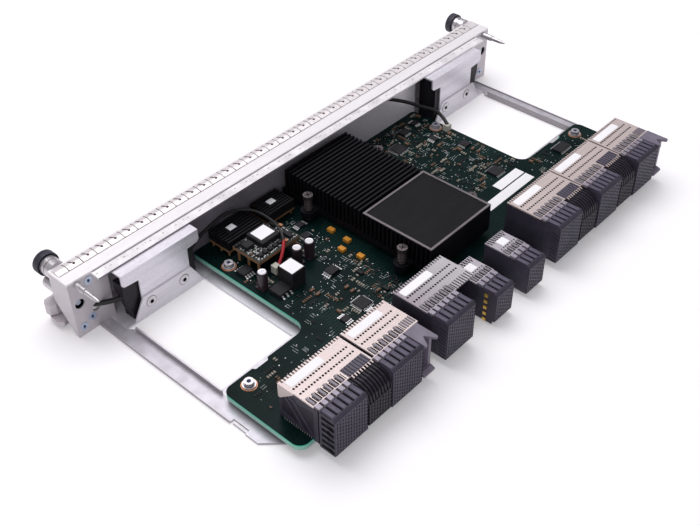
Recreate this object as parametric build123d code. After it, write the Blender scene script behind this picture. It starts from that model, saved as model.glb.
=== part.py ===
from build123d import *
import math
import os

# Switch fabric card, component side up.
# Millimetres. X runs along the front panel, Y from the front panel back to the
# plug-in connectors, Z up. X = 0 is the middle of the card, Y = 0 the outer face
# of the front panel, Z = 0 the underside of the tray, on which the card rests.

os.makedirs("parts", exist_ok=True)

# Front panel box
PANEL_LENGTH = 379.2
HALF = PANEL_LENGTH / 2
PANEL_HEIGHT = 39.6
PANEL_DEPTH = 17.3
PANEL_SHEET = 1.2
TOP_UNDER = PANEL_HEIGHT - PANEL_SHEET
END_BLOCK_WIDTH = 25.6
BLOCK_X0 = HALF - END_BLOCK_WIDTH
BLOCK_BACK_PLATE = 1.9
DEEP_HOLE_X = HALF - 5.2
DEEP_HOLE_Z = 22.5
DEEP_HOLE_RADIUS = 3.1
LEAD_HOLE_X = BLOCK_X0 + 11.0
LEAD_HOLE_Z = 14.0
LEAD_HOLE_RADIUS = 2.8
TOP_BLOCK_SCREW = (BLOCK_X0 + 12.4, 34.6)
LOW_BLOCK_SCREWS = ((BLOCK_X0 + 14.8, 9.4), (HALF - 4.5, 5.9))
BLOCK_SCREW_RADIUS = 2.6
FAR_END_SHIFT = 2.8
REAR_WALL_INSET = 83.6
REAR_WALL_HALF = HALF - REAR_WALL_INSET
REAR_WALL_Y = PANEL_DEPTH - 2.2
REAR_WALL_BACK = REAR_WALL_Y + PANEL_SHEET
REAR_FLANGE_HALF = BLOCK_X0 + 9.8
REAR_FLANGE_Y = PANEL_DEPTH + 7.0

# Spring finger gasket on the top wall
FINGER_PITCH = 9.5
GASKET_END_GAP = 1.1
GASKET_HALF = HALF - GASKET_END_GAP
FIRST_FINGER_X = GASKET_HALF - 7.1
FINGER_COUNT = int((FIRST_FINGER_X + GASKET_HALF) / FINGER_PITCH)
FINGER_GAP = 0.5
GASKET_Y = 1.5
GASKET_DEPTH = 7.4
FINGER_RISE = 0.7
GASKET_FOOT = 0.25

# Lever corner at each end of the panel
CORNER_CUT_HEIGHT = 18.4
CORNER_CUT_DEPTH = 15.0
PIVOT_X = HALF - 8.6
PIVOT_Y = -6.0
PIVOT_RADIUS = 1.5
LUG_REACH = 10.9
LUG_HALF_WIDTH = 5.6
LUG_LOW_TOP = 1.6
LUG_HIGH_BOTTOM = 18.6
LUG_HIGH_TOP = 20.0
LEVER_BOTTOM = 2.0
LEVER_TOP = 18.2
LEVER_KNUCKLE = 4.9
LEVER_ARM_LENGTH = 89.0
LEVER_ARM_END = PIVOT_X - LEVER_ARM_LENGTH
LEVER_ARM_FRONT = -11.0
LEVER_ARM_BACK = -1.5
LEVER_ARM_BOTTOM = 3.6
LEVER_ARM_TOP = 17.0
LEVER_GRIP_LENGTH = 16.0
RUN_CLEARANCE = 0.06

# Release button beside each lever, round nosed
BUTTON_X = HALF - 4.3
BUTTON_Z = 24.3
BUTTON_RADIUS = 4.1
BUTTON_REACH = 11.4
BUTTON_TRAVEL = 2.0
BUTTON_SEAT = 0.6

# Captive thumbscrews, each ending in a long stepped nose
THUMB_X = HALF - 5.8
THUMB_Z = PANEL_HEIGHT - 3.6
THUMB_CAP_RADIUS = 7.2
THUMB_CAP_LENGTH = 4.8
THUMB_BARREL_RADIUS = 5.8
THUMB_BARREL_LENGTH = 3.4
FERRULE_RADIUS = 5.8
FERRULE_LENGTH = 4.4
THUMB_SHOULDER_GAP = 0.4
SHANK_RADIUS = 1.8
NOSE_RADIUS = 2.1
NOSE_LENGTH = 19.5
NOSE_WIDE_LENGTH = 7.8
NOSE_GAP = 0.4

# Circuit board
BOARD_BOTTOM = 4.2
BOARD_THICKNESS = 3.6
BOARD_TOP = BOARD_BOTTOM + BOARD_THICKNESS
BOARD_NARROW_HALF = REAR_WALL_HALF - 1.4
BOARD_WIDE_HALF = HALF - 21.5
BOARD_FRONT_Y = REAR_WALL_BACK + 0.2
BOARD_SHOULDER_Y = 112.0
BOARD_REAR_Y = 169.0
SHOULDER_SCREW = (BOARD_WIDE_HALF - 12.8, BOARD_SHOULDER_Y + 7.2)
FRONT_SCREW = (BOARD_NARROW_HALF - 6.4, 42.0)
BOARD_SCREWS = (SHOULDER_SCREW, FRONT_SCREW)

# Tray
TRAY_SHEET = 1.0
RAIL_WIDTH = 10.6
RAIL_OUTER = HALF - 13.8
RAIL_INNER = RAIL_OUTER - RAIL_WIDTH
RAIL_NECK = RAIL_INNER + 3.1
RAIL_END_Y = 146.0
RAIL_LIP_HEIGHT = 4.5
RAIL_LIP_START = 38.0
RAIL_LIP_END = 109.0
SILL_Y = PANEL_DEPTH + 15.0
SILL_FLANGE_HEIGHT = 15.0
SILL_FLANGE_GAP = 3.2
PAN_NARROW_HALF = BOARD_NARROW_HALF + 5.4
PAN_WIDE_Y = BOARD_SHOULDER_Y - 6.0
PAN_REAR_Y = BOARD_REAR_Y - 5.0
TAB_SLOT_START = 125.5
TAB_SLOT_END = 137.0
TAB_SLOT_DEPTH = 3.0

# Lever guards behind the panel
GUARD_INNER = REAR_WALL_HALF + 3.5
GUARD_OUTER = BLOCK_X0 + 1.0
GUARD_LIP_TOP = 37.2
GUARD_SHEET = 1.0
GUARD_END_DROP = 7.0
GUARD_CORNER = 1.4
GUARD_BAND_DROP = 8.8
GUARD_BAND_SLOPE = 0.8
GUARD_LOW_INNER = GUARD_INNER + 9.1
GUARD_LOW_OUTER = GUARD_OUTER - 11.0
RIVET_Z = 9.2
RIVET_X = (GUARD_LOW_INNER + 5.8, GUARD_LOW_OUTER - 5.2)
RIVET_RADIUS = 2.0
CARRIER_INNER = GUARD_INNER + 4.5
CARRIER_STEP = GUARD_OUTER - 15.0
CARRIER_OUTER = GUARD_OUTER - 0.7
CARRIER_FOOT = CARRIER_OUTER - 4.1
CARRIER_TOP = 33.0
CARRIER_NOSE_TOP = 28.6

# Heatsink over the switch chip
SINK_X0 = -27.5
SINK_X1 = 29.5
SINK_Y0 = 18.45
SINK_Y1 = 138.9
SINK_BASE_BOTTOM = 11.4
SINK_BASE_TOP = 15.2
SINK_TOP = 30.7
SINK_FIN_PITCH = 3.22
SINK_FIN_THICKNESS = 1.4
SINK_COVER_Y0 = 86.9
SINK_COVER_THICKNESS = 1.4
SINK_COVER_RIM = 1.5
SINK_COVER_RIM_RISE = 0.4
SPRING_SCREW_REACH = 4.6
SPRING_SCREW_Y = (46.0, 121.5)

# Connector row
COLUMN_PITCH = 2.0
SIGNAL_COLUMNS = 12
PLATE_TOP = 31.7
PLATE_SHEET = 0.9
PLATE_BACK_Y = BOARD_REAR_Y - 23.3
PLATE_FRONT_Y = BOARD_REAR_Y + 0.8
HOUSING_BACK_Y = PLATE_FRONT_Y + 3.4
LUG_END_Y = HOUSING_BACK_Y
HOUSING_FRONT_Y = HOUSING_BACK_Y + 10.4
HOUSING_TOP = 32.0
HOUSING_BOTTOM = 5.3
WIDTH_BLOCK_MODULE = 43.2
WIDTH_GUIDE_MODULE = 34.0
WIDTH_OPEN_MODULE = 41.2
BLOCK_WIDTH = 16.0
MODULE_LEFT = {1: 158.8, 2: 113.6, 3: 71.6, 6: -34.2, 7: -78.6, 8: -123.1}
MODULE_KIND = {1: "block", 2: "guide", 3: "open", 6: "block", 7: "block", 8: "guide"}
FRONT_SHIFT = {1: 0.0, 2: 2.4, 3: 0.0, 6: 0.0, 7: 0.0, 8: 0.4}
GUIDE_WIDTH = 10.4
SMALL_LEFT = {4: 28.9, 5: -2.3}
SMALL_WIDTH = 16.1
SMALL_BACK_Y = 153.4
SMALL_PLATE_FRONT_Y = 170.8
SMALL_PLATE_TOP = 24.1
SMALL_HOUSING_BACK_Y = 174.3
SMALL_FRONT_Y = 184.9
SMALL_BOTTOM = 3.2
SMALL_SKIRT_BOTTOM = 0.8
SMALL_SKIRT_GAP = 1.9
CONTACT_PITCH = 4.4
CONTACT_Y = 177.0
SMALL_TOP = 23.6
LABEL_THICKNESS = 0.2



def box(x0, x1, y0, y1, z0, z1):
    low = (min(x0, x1), min(y0, y1), min(z0, z1))
    size = (abs(x1 - x0), abs(y1 - y0), abs(z1 - z0))
    corner = (Align.MIN, Align.MIN, Align.MIN)
    return Pos(*low) * Box(*size, align=corner)


def cylinder_z(x, y, radius, z0, z1):
    return Pos(x, y, z0) * Cylinder(radius, z1 - z0, align=(Align.CENTER, Align.CENTER, Align.MIN))


def cylinder_y(x, z, radius, y0, y1):
    upright = Cylinder(radius, y1 - y0, align=(Align.CENTER, Align.CENTER, Align.MIN))
    return Pos(x, y0, z) * Rot(-90, 0, 0) * upright


def cone_y(x, z, radius0, radius1, y0, y1):
    upright = Cone(radius0, radius1, y1 - y0, align=(Align.CENTER, Align.CENTER, Align.MIN))
    return Pos(x, y0, z) * Rot(-90, 0, 0) * upright


def prism_x(points, x0, x1):
    face = make_face(Polyline(*[(x0, y, z) for y, z in points], close=True))
    return extrude(face, amount=x1 - x0, dir=(1, 0, 0))


def prism_y(points, y0, y1):
    face = make_face(Polyline(*[(x, y0, z) for x, z in points], close=True))
    return extrude(face, amount=y1 - y0, dir=(0, 1, 0))


def prism_z(points, z0, z1):
    face = make_face(Polyline(*[(x, y, z0) for x, y in points], close=True))
    return extrude(face, amount=z1 - z0, dir=(0, 0, 1))


def rounded_prism_z(points, radii, z0, z1):
    outline = FilletPolyline(*[(x, y, z0) for x, y in points], radius=radii, close=True)
    return extrude(make_face(outline), amount=z1 - z0, dir=(0, 0, 1))


def join(pieces):
    whole = pieces[0]
    for piece in pieces[1:]:
        whole = whole + piece
    return whole


def mirrored(shape):
    return mirror(shape, about=Plane.YZ)


def save(name, pieces):
    solids = []
    for piece in pieces:
        solids.extend(piece.solids())
    shape = solids[0] if len(solids) == 1 else Compound(children=solids)
    shape.label = name
    export_step(shape, "parts/" + name + ".step")


def save_pair(name, shape):
    save(name + "_near", [shape])
    save(name + "_far", [mirrored(shape)])


# Wire runs: straight runs joined by tangent arcs, radii from the shorter run at each turn
def bend_radii(points):
    radii = []
    for a, b, c in zip(points, points[1:], points[2:]):
        u = Vector(*b) - Vector(*a)
        v = Vector(*c) - Vector(*b)
        turn = math.radians(u.get_angle(v))
        radii.append(0.45 * min(u.length, v.length) / math.tan(turn / 2))
    return radii


def tube(points, radius):
    path = FilletPolyline(*points, radius=bend_radii(points))
    section = Plane(origin=points[0], z_dir=path % 0) * Circle(radius)
    return sweep(section, path=path)


def wire(points, radius):
    radii = bend_radii(points)
    run = tube(points, radius)
    expected = math.pi * radius * radius * FilletPolyline(*points, radius=radii).length
    length = FilletPolyline(*points, radius=radii).length
    print("wire radii", [round(r, 1) for r in radii], "length", round(length, 1))
    print("wire volume", round(run.volume, 1), "of", round(expected, 1))
    return run


# Hole that a wire leaves in the piece it enters
def wire_hole(points, radius):
    return tube(points, radius + WIRE_HOLE_GAP)


NEAR_WIRE = (
    (114.0, 24.0, 16.0),
    (103.0, 17.9, 16.2),
    (90.0, 17.6, 20.0),
    (76.0, 18.4, 23.4),
    (64.6, 25.0, 22.6),
    (62.6, 38.0, 22.8),
    (65.6, 54.0, 23.2),
    (73.0, 64.6, 18.5),
    (81.4, 66.8, 11.4),
)
FAR_WIRE = (
    (-72.0, 16.3, 33.0),
    (-84.0, 24.0, 29.0),
    (-96.0, 31.0, 21.0),
    (-106.0, 39.0, 16.6),
    (-101.0, 49.7, 12.6),
)
END_LEAD = (
    (179.2, 6.3, 12.8),
    (174.9, 18.6, 14.2),
    (158.2, 26.4, 16.9),
)
NEAR_WIRE_RADIUS = 1.0
FAR_WIRE_RADIUS = 1.25
END_LEAD_RADIUS = 1.5
WIRE_HOLE_GAP = 0.05
FAR_LEAD = tuple((FAR_END_SHIFT - x, y, z) for x, y, z in END_LEAD)


# Front panel: front wall and top wall folded from one sheet
def front_panel():
    top = box(-HALF, HALF, 0, PANEL_DEPTH, TOP_UNDER, PANEL_HEIGHT)
    wall = box(-HALF + PANEL_SHEET, HALF - PANEL_SHEET, 0, PANEL_SHEET, 0, TOP_UNDER)
    panel = top + wall
    for side in (1, -1):
        inner = side * BLOCK_X0
        outer = side * HALF
        panel = panel - box(inner, outer, -1, 2, -1, CORNER_CUT_HEIGHT)
        lug0 = side * (PIVOT_X - LUG_HALF_WIDTH)
        lug1 = side * (PIVOT_X + LUG_HALF_WIDTH)
        panel = panel - box(lug0, lug1, -1, 2, LUG_HIGH_BOTTOM, LUG_HIGH_TOP)
        panel = panel - cylinder_y(side * THUMB_X, THUMB_Z, SHANK_RADIUS + RUN_CLEARANCE, -1, 2)
        panel = panel - cylinder_y(side * BUTTON_X, BUTTON_Z, BUTTON_RADIUS + RUN_CLEARANCE, -1, 2)
    return panel


# Rear wall with the flange that runs back under the top wall
def rear_wall():
    wall = box(-REAR_WALL_HALF, REAR_WALL_HALF, REAR_WALL_Y, REAR_WALL_BACK, TRAY_SHEET, GUARD_LIP_TOP)
    flange = box(-BLOCK_X0, BLOCK_X0, REAR_WALL_Y, REAR_FLANGE_Y, GUARD_LIP_TOP, TOP_UNDER)
    ears = box(-REAR_FLANGE_HALF, REAR_FLANGE_HALF, PANEL_DEPTH, REAR_FLANGE_Y, GUARD_LIP_TOP, TOP_UNDER)
    return wall + flange + ears - wire_hole(FAR_WIRE, FAR_WIRE_RADIUS)


# Gasket strip with a row of shallow arched spring fingers
def gasket_strip():
    foot_top = PANEL_HEIGHT + GASKET_FOOT
    strip = box(-GASKET_HALF, GASKET_HALF, GASKET_Y, GASKET_Y + GASKET_DEPTH, PANEL_HEIGHT, foot_top)
    arch = []
    steps = 4
    for i in range(steps + 1):
        t = i / steps
        y = GASKET_Y + 0.4 + t * (GASKET_DEPTH - 0.8)
        arch.append((y, foot_top + FINGER_RISE * math.sin(math.pi * t) + 0.02))
    outline = [(arch[0][0], PANEL_HEIGHT + 0.1)] + arch + [(arch[-1][0], PANEL_HEIGHT + 0.1)]
    breaks = [GASKET_HALF]
    breaks += [FIRST_FINGER_X - k * FINGER_PITCH for k in range(FINGER_COUNT + 1)]
    breaks.append(-GASKET_HALF)
    pieces = [strip]
    for x1, x0 in zip(breaks, breaks[1:]):
        pieces.append(prism_x(outline, x0 + FINGER_GAP / 2, x1 - FINGER_GAP / 2))
    return join(pieces)


# End block: casting that closes the panel end and carries the lever pivot
def end_block(shift):
    upper = box(BLOCK_X0, HALF - PANEL_SHEET, PANEL_SHEET, PANEL_DEPTH, CORNER_CUT_HEIGHT, TOP_UNDER)
    back_plate = PANEL_DEPTH - BLOCK_BACK_PLATE
    lower = box(BLOCK_X0, HALF - PANEL_SHEET, back_plate, PANEL_DEPTH, 0, CORNER_CUT_HEIGHT)
    profile = [(0, TOP_UNDER), (PANEL_DEPTH, TOP_UNDER), (PANEL_DEPTH, 0)]
    profile += [(CORNER_CUT_DEPTH, 0), (0, CORNER_CUT_HEIGHT)]
    plate = prism_x(profile, HALF - PANEL_SHEET, HALF)
    x0 = PIVOT_X - LUG_HALF_WIDTH
    x1 = PIVOT_X + LUG_HALF_WIDTH
    low_lug = box(x0, x1, -LUG_REACH, back_plate + 0.2, 0, LUG_LOW_TOP)
    high_lug = box(x0, x1, -LUG_REACH, PANEL_SHEET + 0.5, LUG_HIGH_BOTTOM, LUG_HIGH_TOP)
    block = upper + lower + plate + low_lug + high_lug
    block = block - cylinder_z(PIVOT_X, PIVOT_Y, PIVOT_RADIUS, -1, LUG_HIGH_TOP + 1)
    block = block - cylinder_y(THUMB_X, THUMB_Z, SHANK_RADIUS + RUN_CLEARANCE, -1, PANEL_DEPTH + 1)
    button_bore = BUTTON_RADIUS + RUN_CLEARANCE
    block = block - cylinder_y(BUTTON_X, BUTTON_Z, button_bore, -1, BUTTON_SEAT + BUTTON_TRAVEL + 0.4)
    behind = PANEL_DEPTH + 1
    block = block - cylinder_y(DEEP_HOLE_X, DEEP_HOLE_Z, DEEP_HOLE_RADIUS, PANEL_DEPTH - 4, behind)
    lead_x = LEAD_HOLE_X - shift
    return block - cylinder_y(lead_x, LEAD_HOLE_Z, LEAD_HOLE_RADIUS, back_plate - 1, behind)


# Ejector lever: pivot knuckle, two-step claw, long arm and finger grip
def lever():
    grip_x = LEVER_ARM_END
    arm = rounded_prism_z(
        [
            (PIVOT_X, LEVER_ARM_FRONT),
            (PIVOT_X, LEVER_ARM_BACK),
            (grip_x + LEVER_GRIP_LENGTH, LEVER_ARM_BACK),
            (grip_x, LEVER_ARM_BACK - 4.0),
            (grip_x, LEVER_ARM_FRONT - 3.5),
            (grip_x + 6.0, LEVER_ARM_FRONT - 3.5),
            (grip_x + LEVER_GRIP_LENGTH, LEVER_ARM_FRONT),
        ],
        [1.0, 1.0, 2.0, 1.2, 1.2, 2.0, 3.0],
        LEVER_ARM_BOTTOM,
        LEVER_ARM_TOP,
    )
    knuckle = cylinder_z(PIVOT_X, PIVOT_Y, LEVER_KNUCKLE, LEVER_BOTTOM, LEVER_TOP)
    upper_claw = rounded_prism_z(
        [
            (PIVOT_X, -10.0),
            (PIVOT_X, -1.3),
            (PIVOT_X + 8.0, -1.6),
            (PIVOT_X + 11.6, -3.6),
            (PIVOT_X + 12.2, -7.2),
            (PIVOT_X + 10.0, -10.0),
        ],
        [0.5, 0.5, 1.0, 1.5, 1.5, 1.5],
        6.2,
        13.6,
    )
    lower_claw = rounded_prism_z(
        [
            (PIVOT_X, -9.6),
            (PIVOT_X, -1.3),
            (PIVOT_X + 6.4, 4.6),
            (PIVOT_X + 9.6, 5.6),
            (PIVOT_X + 12.2, 3.0),
            (PIVOT_X + 11.8, -4.0),
            (PIVOT_X + 8.6, -9.6),
        ],
        [0.5, 2.0, 1.0, 1.0, 1.5, 1.5, 1.5],
        LEVER_BOTTOM,
        5.6,
    )
    web = cylinder_z(PIVOT_X + 2.5, PIVOT_Y, 4.6, LEVER_BOTTOM, 13.6)
    shape = arm + knuckle + upper_claw + lower_claw + web
    shape = shape - cylinder_z(PIVOT_X, PIVOT_Y, PIVOT_RADIUS + RUN_CLEARANCE, 0, 30)
    middle_z = (LEVER_ARM_BOTTOM + LEVER_ARM_TOP) / 2
    for x0 in (BLOCK_X0 - 46.0, BLOCK_X0 - 16.0):
        recess = box(x0, x0 + 24.0, -30, LEVER_ARM_FRONT + 1.6, middle_z - 3.4, middle_z + 3.4)
        shape = shape - recess
    return shape


def release_button():
    body = cylinder_y(BUTTON_X, BUTTON_Z, BUTTON_RADIUS, -BUTTON_REACH, BUTTON_SEAT)
    nose = body.edges().filter_by(GeomType.CIRCLE).group_by(Axis.Y)[0]
    return fillet(nose, 2.2)


def lever_pin(side):
    pin = cylinder_z(side * PIVOT_X, PIVOT_Y, PIVOT_RADIUS, 0, LUG_HIGH_TOP)
    head = cylinder_z(side * PIVOT_X, PIVOT_Y, PIVOT_RADIUS + 1.0, LUG_HIGH_TOP, LUG_HIGH_TOP + 0.7)
    return pin + head


# Thumbscrew: metal barrel and shank with a long stepped nose
def thumbscrew():
    barrel_y1 = -FERRULE_LENGTH - THUMB_SHOULDER_GAP
    barrel_y0 = barrel_y1 - THUMB_BARREL_LENGTH
    barrel = cylinder_y(THUMB_X, THUMB_Z, THUMB_BARREL_RADIUS, barrel_y0, barrel_y1)
    wide = PANEL_DEPTH + NOSE_GAP
    first = wide + NOSE_WIDE_LENGTH
    tip = PANEL_DEPTH + NOSE_LENGTH
    shank = cylinder_y(THUMB_X, THUMB_Z, SHANK_RADIUS, barrel_y1 - 1, wide + 1)
    nose = cylinder_y(THUMB_X, THUMB_Z, NOSE_RADIUS, wide, first)
    neck = cone_y(THUMB_X, THUMB_Z, NOSE_RADIUS * 0.74, NOSE_RADIUS * 0.62, first, tip - 3.5)
    point = cone_y(THUMB_X, THUMB_Z, NOSE_RADIUS * 0.62, NOSE_RADIUS * 0.25, tip - 3.5, tip)
    return barrel + shank + nose + neck + point


def thumb_cap():
    back = -FERRULE_LENGTH - THUMB_SHOULDER_GAP - THUMB_BARREL_LENGTH
    front = back - THUMB_CAP_LENGTH
    cap = cylinder_y(THUMB_X, THUMB_Z, THUMB_CAP_RADIUS, front, back)
    cap = fillet(cap.edges().filter_by(GeomType.CIRCLE).group_by(Axis.Y)[0], 1.6)
    cap = cap - box(THUMB_X - 5.5, THUMB_X + 5.5, front - 1, front + 1.3, THUMB_Z - 0.7, THUMB_Z + 0.7)
    return cap


def ferrule():
    tube = cylinder_y(THUMB_X, THUMB_Z, FERRULE_RADIUS, -FERRULE_LENGTH, 0)
    return tube - cylinder_y(THUMB_X, THUMB_Z, SHANK_RADIUS + RUN_CLEARANCE, -FERRULE_LENGTH - 1, 1)


# Screw ends that show on the back of each end block
def block_screws():
    ends = []
    for side, shift in ((1, 0.0), (-1, FAR_END_SHIFT)):
        spots = [TOP_BLOCK_SCREW] + [(x - shift, z) for x, z in LOW_BLOCK_SCREWS]
        for x, z in spots:
            disc = cylinder_y(side * x, z, BLOCK_SCREW_RADIUS, PANEL_DEPTH, PANEL_DEPTH + 0.4)
            recess = cylinder_y(side * x, z, BLOCK_SCREW_RADIUS / 2, PANEL_DEPTH + 0.1, PANEL_DEPTH + 1)
            ends.append(disc - recess)
        y0 = PANEL_DEPTH - 4
        ends.append(cylinder_y(side * DEEP_HOLE_X, DEEP_HOLE_Z, DEEP_HOLE_RADIUS / 2, y0, y0 + 2.5))
    return ends


# Tray pieces
def sill():
    half = BLOCK_X0
    flat = box(-half, half, PANEL_SHEET, PANEL_DEPTH, 0, TRAY_SHEET)
    flat = flat + box(-RAIL_NECK, RAIL_NECK, PANEL_DEPTH, SILL_Y, 0, TRAY_SHEET)
    for side in (1, -1):
        points = [
            (PAN_NARROW_HALF, 0),
            (RAIL_INNER - SILL_FLANGE_GAP, 0),
            (GUARD_LOW_OUTER, SILL_FLANGE_HEIGHT),
            (GUARD_LOW_INNER, SILL_FLANGE_HEIGHT),
        ]
        flange = prism_y([(side * x, z) for x, z in points], SILL_Y - GUARD_SHEET, SILL_Y)
        flat = flat + flange
    for side in (1, -1):
        for x in RIVET_X:
            x = x if side == 1 else FAR_END_SHIFT - x
            flat = flat - cylinder_y(x, RIVET_Z, RIVET_RADIUS * 0.75, SILL_Y - 3, SILL_Y + 1)
    return flat


def rail():
    points = [
        (RAIL_NECK, PANEL_DEPTH),
        (RAIL_OUTER, PANEL_DEPTH),
        (RAIL_OUTER, TAB_SLOT_START),
        (RAIL_OUTER - TAB_SLOT_DEPTH, TAB_SLOT_START),
        (RAIL_OUTER - TAB_SLOT_DEPTH, TAB_SLOT_END),
        (RAIL_OUTER, TAB_SLOT_END),
        (RAIL_OUTER, RAIL_END_Y),
        (RAIL_INNER, RAIL_END_Y + 12.0),
        (RAIL_INNER, RAIL_LIP_START - 2),
        (RAIL_NECK, SILL_Y),
    ]
    flat = prism_z(points, 0, TRAY_SHEET)
    lip = box(RAIL_INNER, RAIL_INNER + TRAY_SHEET, RAIL_LIP_START, RAIL_LIP_END, 0, RAIL_LIP_HEIGHT)
    finger_x1 = RAIL_OUTER - 0.7
    finger = box(finger_x1 - 0.9, finger_x1, TAB_SLOT_START + 1.5, TAB_SLOT_END + 0.5, 0, TRAY_SHEET)
    edge_lip = box(RAIL_OUTER - 0.8, RAIL_OUTER, PANEL_DEPTH, TAB_SLOT_START, 0, TRAY_SHEET + 0.8)
    return flat + lip + finger + edge_lip


def pan():
    points = [
        (-PAN_NARROW_HALF, SILL_Y),
        (PAN_NARROW_HALF, SILL_Y),
        (PAN_NARROW_HALF, PAN_WIDE_Y),
        (RAIL_INNER, PAN_WIDE_Y),
        (RAIL_INNER, PAN_REAR_Y - 4),
        (RAIL_INNER - 4, PAN_REAR_Y),
        (-RAIL_INNER + 4, PAN_REAR_Y),
        (-RAIL_INNER, PAN_REAR_Y - 4),
        (-RAIL_INNER, PAN_WIDE_Y),
        (-PAN_NARROW_HALF, PAN_WIDE_Y),
    ]
    return prism_z(points, 0, TRAY_SHEET)


def guard():
    back = SILL_Y - GUARD_SHEET
    lip = box(GUARD_INNER, GUARD_OUTER, PANEL_DEPTH, back, GUARD_LIP_TOP - GUARD_SHEET, GUARD_LIP_TOP)
    end_bottom = GUARD_LIP_TOP - GUARD_END_DROP
    corner_bottom = GUARD_LIP_TOP - GUARD_BAND_DROP + GUARD_BAND_SLOPE / 2
    band_bottom = GUARD_LIP_TOP - GUARD_BAND_DROP - GUARD_BAND_SLOPE / 2
    outline = [
        (GUARD_INNER, GUARD_LIP_TOP),
        (GUARD_OUTER, GUARD_LIP_TOP),
        (GUARD_OUTER, end_bottom),
        (GUARD_OUTER - GUARD_CORNER, corner_bottom),
        (GUARD_LOW_OUTER, band_bottom),
        (GUARD_LOW_OUTER, TRAY_SHEET),
        (GUARD_LOW_INNER, TRAY_SHEET),
        (GUARD_LOW_INNER, band_bottom),
        (GUARD_INNER + GUARD_CORNER, corner_bottom),
        (GUARD_INNER, end_bottom),
    ]
    shape = lip + prism_y(outline, back - GUARD_SHEET, back)
    for x in RIVET_X:
        shape = shape - cylinder_y(x, RIVET_Z, RIVET_RADIUS * 0.75, back - 3, back + 1)
    return shape


def rivets():
    out = []
    for side in (1, -1):
        for x in RIVET_X:
            x = x if side == 1 else FAR_END_SHIFT - x
            stem = cylinder_y(x, RIVET_Z, RIVET_RADIUS * 0.75, SILL_Y - 2 * GUARD_SHEET, SILL_Y)
            head = cylinder_y(x, RIVET_Z, RIVET_RADIUS, SILL_Y, SILL_Y + 0.5)
            core = cylinder_y(x, RIVET_Z, RIVET_RADIUS * 0.45, SILL_Y - 1.5, SILL_Y + 1)
            out.append(stem + head - core)
    return out


# Moulded switch carrier inside each guard, seated on the sill
def switch_carrier():
    back = SILL_Y - 2 * GUARD_SHEET
    body = box(CARRIER_INNER, CARRIER_STEP, REAR_WALL_BACK, back, TRAY_SHEET, CARRIER_TOP)
    nose_profile = [
        (CARRIER_STEP, CARRIER_NOSE_TOP),
        (CARRIER_OUTER, CARRIER_NOSE_TOP),
        (CARRIER_OUTER, CARRIER_NOSE_TOP - 7.2),
        (CARRIER_FOOT, 5.0),
        (CARRIER_FOOT, TRAY_SHEET),
        (CARRIER_STEP, TRAY_SHEET),
    ]
    nose = prism_y(nose_profile, REAR_WALL_BACK + 5.0, back - 0.8)
    return body + nose


def near_carrier():
    carrier = switch_carrier() - wire_hole(END_LEAD, END_LEAD_RADIUS)
    return carrier - wire_hole(NEAR_WIRE, NEAR_WIRE_RADIUS)


def far_carrier():
    carrier = Pos(FAR_END_SHIFT, 0, 0) * mirrored(switch_carrier())
    return carrier - wire_hole(FAR_LEAD, END_LEAD_RADIUS)


# Circuit board, T shaped with rounded shoulders
def board():
    wide = BOARD_WIDE_HALF
    narrow = BOARD_NARROW_HALF
    right = [
        (narrow, BOARD_FRONT_Y),
        (narrow, BOARD_SHOULDER_Y),
        (wide - 33.1, BOARD_SHOULDER_Y),
        (wide - 31.9, BOARD_SHOULDER_Y + 1.8),
        (wide - 22.9, BOARD_SHOULDER_Y + 1.8),
        (wide - 21.7, BOARD_SHOULDER_Y),
        (wide, BOARD_SHOULDER_Y),
        (wide, BOARD_REAR_Y),
    ]
    left = [(-x, y) for x, y in reversed(right)]
    radii = [3.0, 8.0, 0.4, 0.4, 0.4, 0.4, 5.5, 6.0]
    shape = rounded_prism_z(right + left, radii + radii[::-1], BOARD_BOTTOM, BOARD_TOP)
    for x, y in BOARD_SCREWS:
        for side in (1, -1):
            shape = shape - cylinder_z(side * x, y, 1.6, 0, 20)
    return shape


def standoffs():
    out = []
    spots = [(side * x, y) for x, y in BOARD_SCREWS for side in (1, -1)]
    spots += [(60.0, 104.0), (-60.0, 104.0), (0.0, 150.0)]
    for x, y in spots:
        out.append(cylinder_z(x, y, 3.0, TRAY_SHEET, BOARD_BOTTOM))
    return out


def board_screws():
    out = []
    for x, y in BOARD_SCREWS:
        for side in (1, -1):
            px = side * x
            washer = cylinder_z(px, y, 3.9, BOARD_TOP, BOARD_TOP + 0.8)
            head = cylinder_z(px, y, 2.75, BOARD_TOP + 0.8, BOARD_TOP + 3.0)
            stem = cylinder_z(px, y, 1.6, BOARD_BOTTOM, BOARD_TOP)
            out.append(washer + head + stem)
    return out


# Heatsink with fins along X, flat cover over its rear part
def heatsink():
    base = box(SINK_X0, SINK_X1, SINK_Y0, SINK_Y1, SINK_BASE_BOTTOM, SINK_BASE_TOP)
    pieces = [base]
    for y in SPRING_SCREW_Y:
        for edge, way in ((SINK_X1, 1), (SINK_X0, -1)):
            cx = edge + way * SPRING_SCREW_REACH
            pieces.append(box(edge, cx, y - 5, y + 5, SINK_BASE_BOTTOM, SINK_BASE_TOP))
            pieces.append(cylinder_z(cx, y, 5.0, SINK_BASE_BOTTOM, SINK_BASE_TOP))
    count = int((SINK_Y1 - SINK_Y0 - SINK_FIN_THICKNESS) / SINK_FIN_PITCH) + 1
    for k in range(count):
        y1 = SINK_Y1 - k * SINK_FIN_PITCH
        y0 = y1 - SINK_FIN_THICKNESS
        under_cover = y1 > SINK_COVER_Y0
        top = SINK_TOP - SINK_COVER_THICKNESS if under_cover else SINK_TOP
        pieces.append(box(SINK_X0, SINK_X1, y0, y1, SINK_BASE_TOP, top))
    shape = join(pieces)
    for y in SPRING_SCREW_Y:
        for edge, way in ((SINK_X1, 1), (SINK_X0, -1)):
            shape = shape - cylinder_z(edge + way * SPRING_SCREW_REACH, y, 1.6, 0, SINK_BASE_TOP + 1)
    return shape


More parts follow.
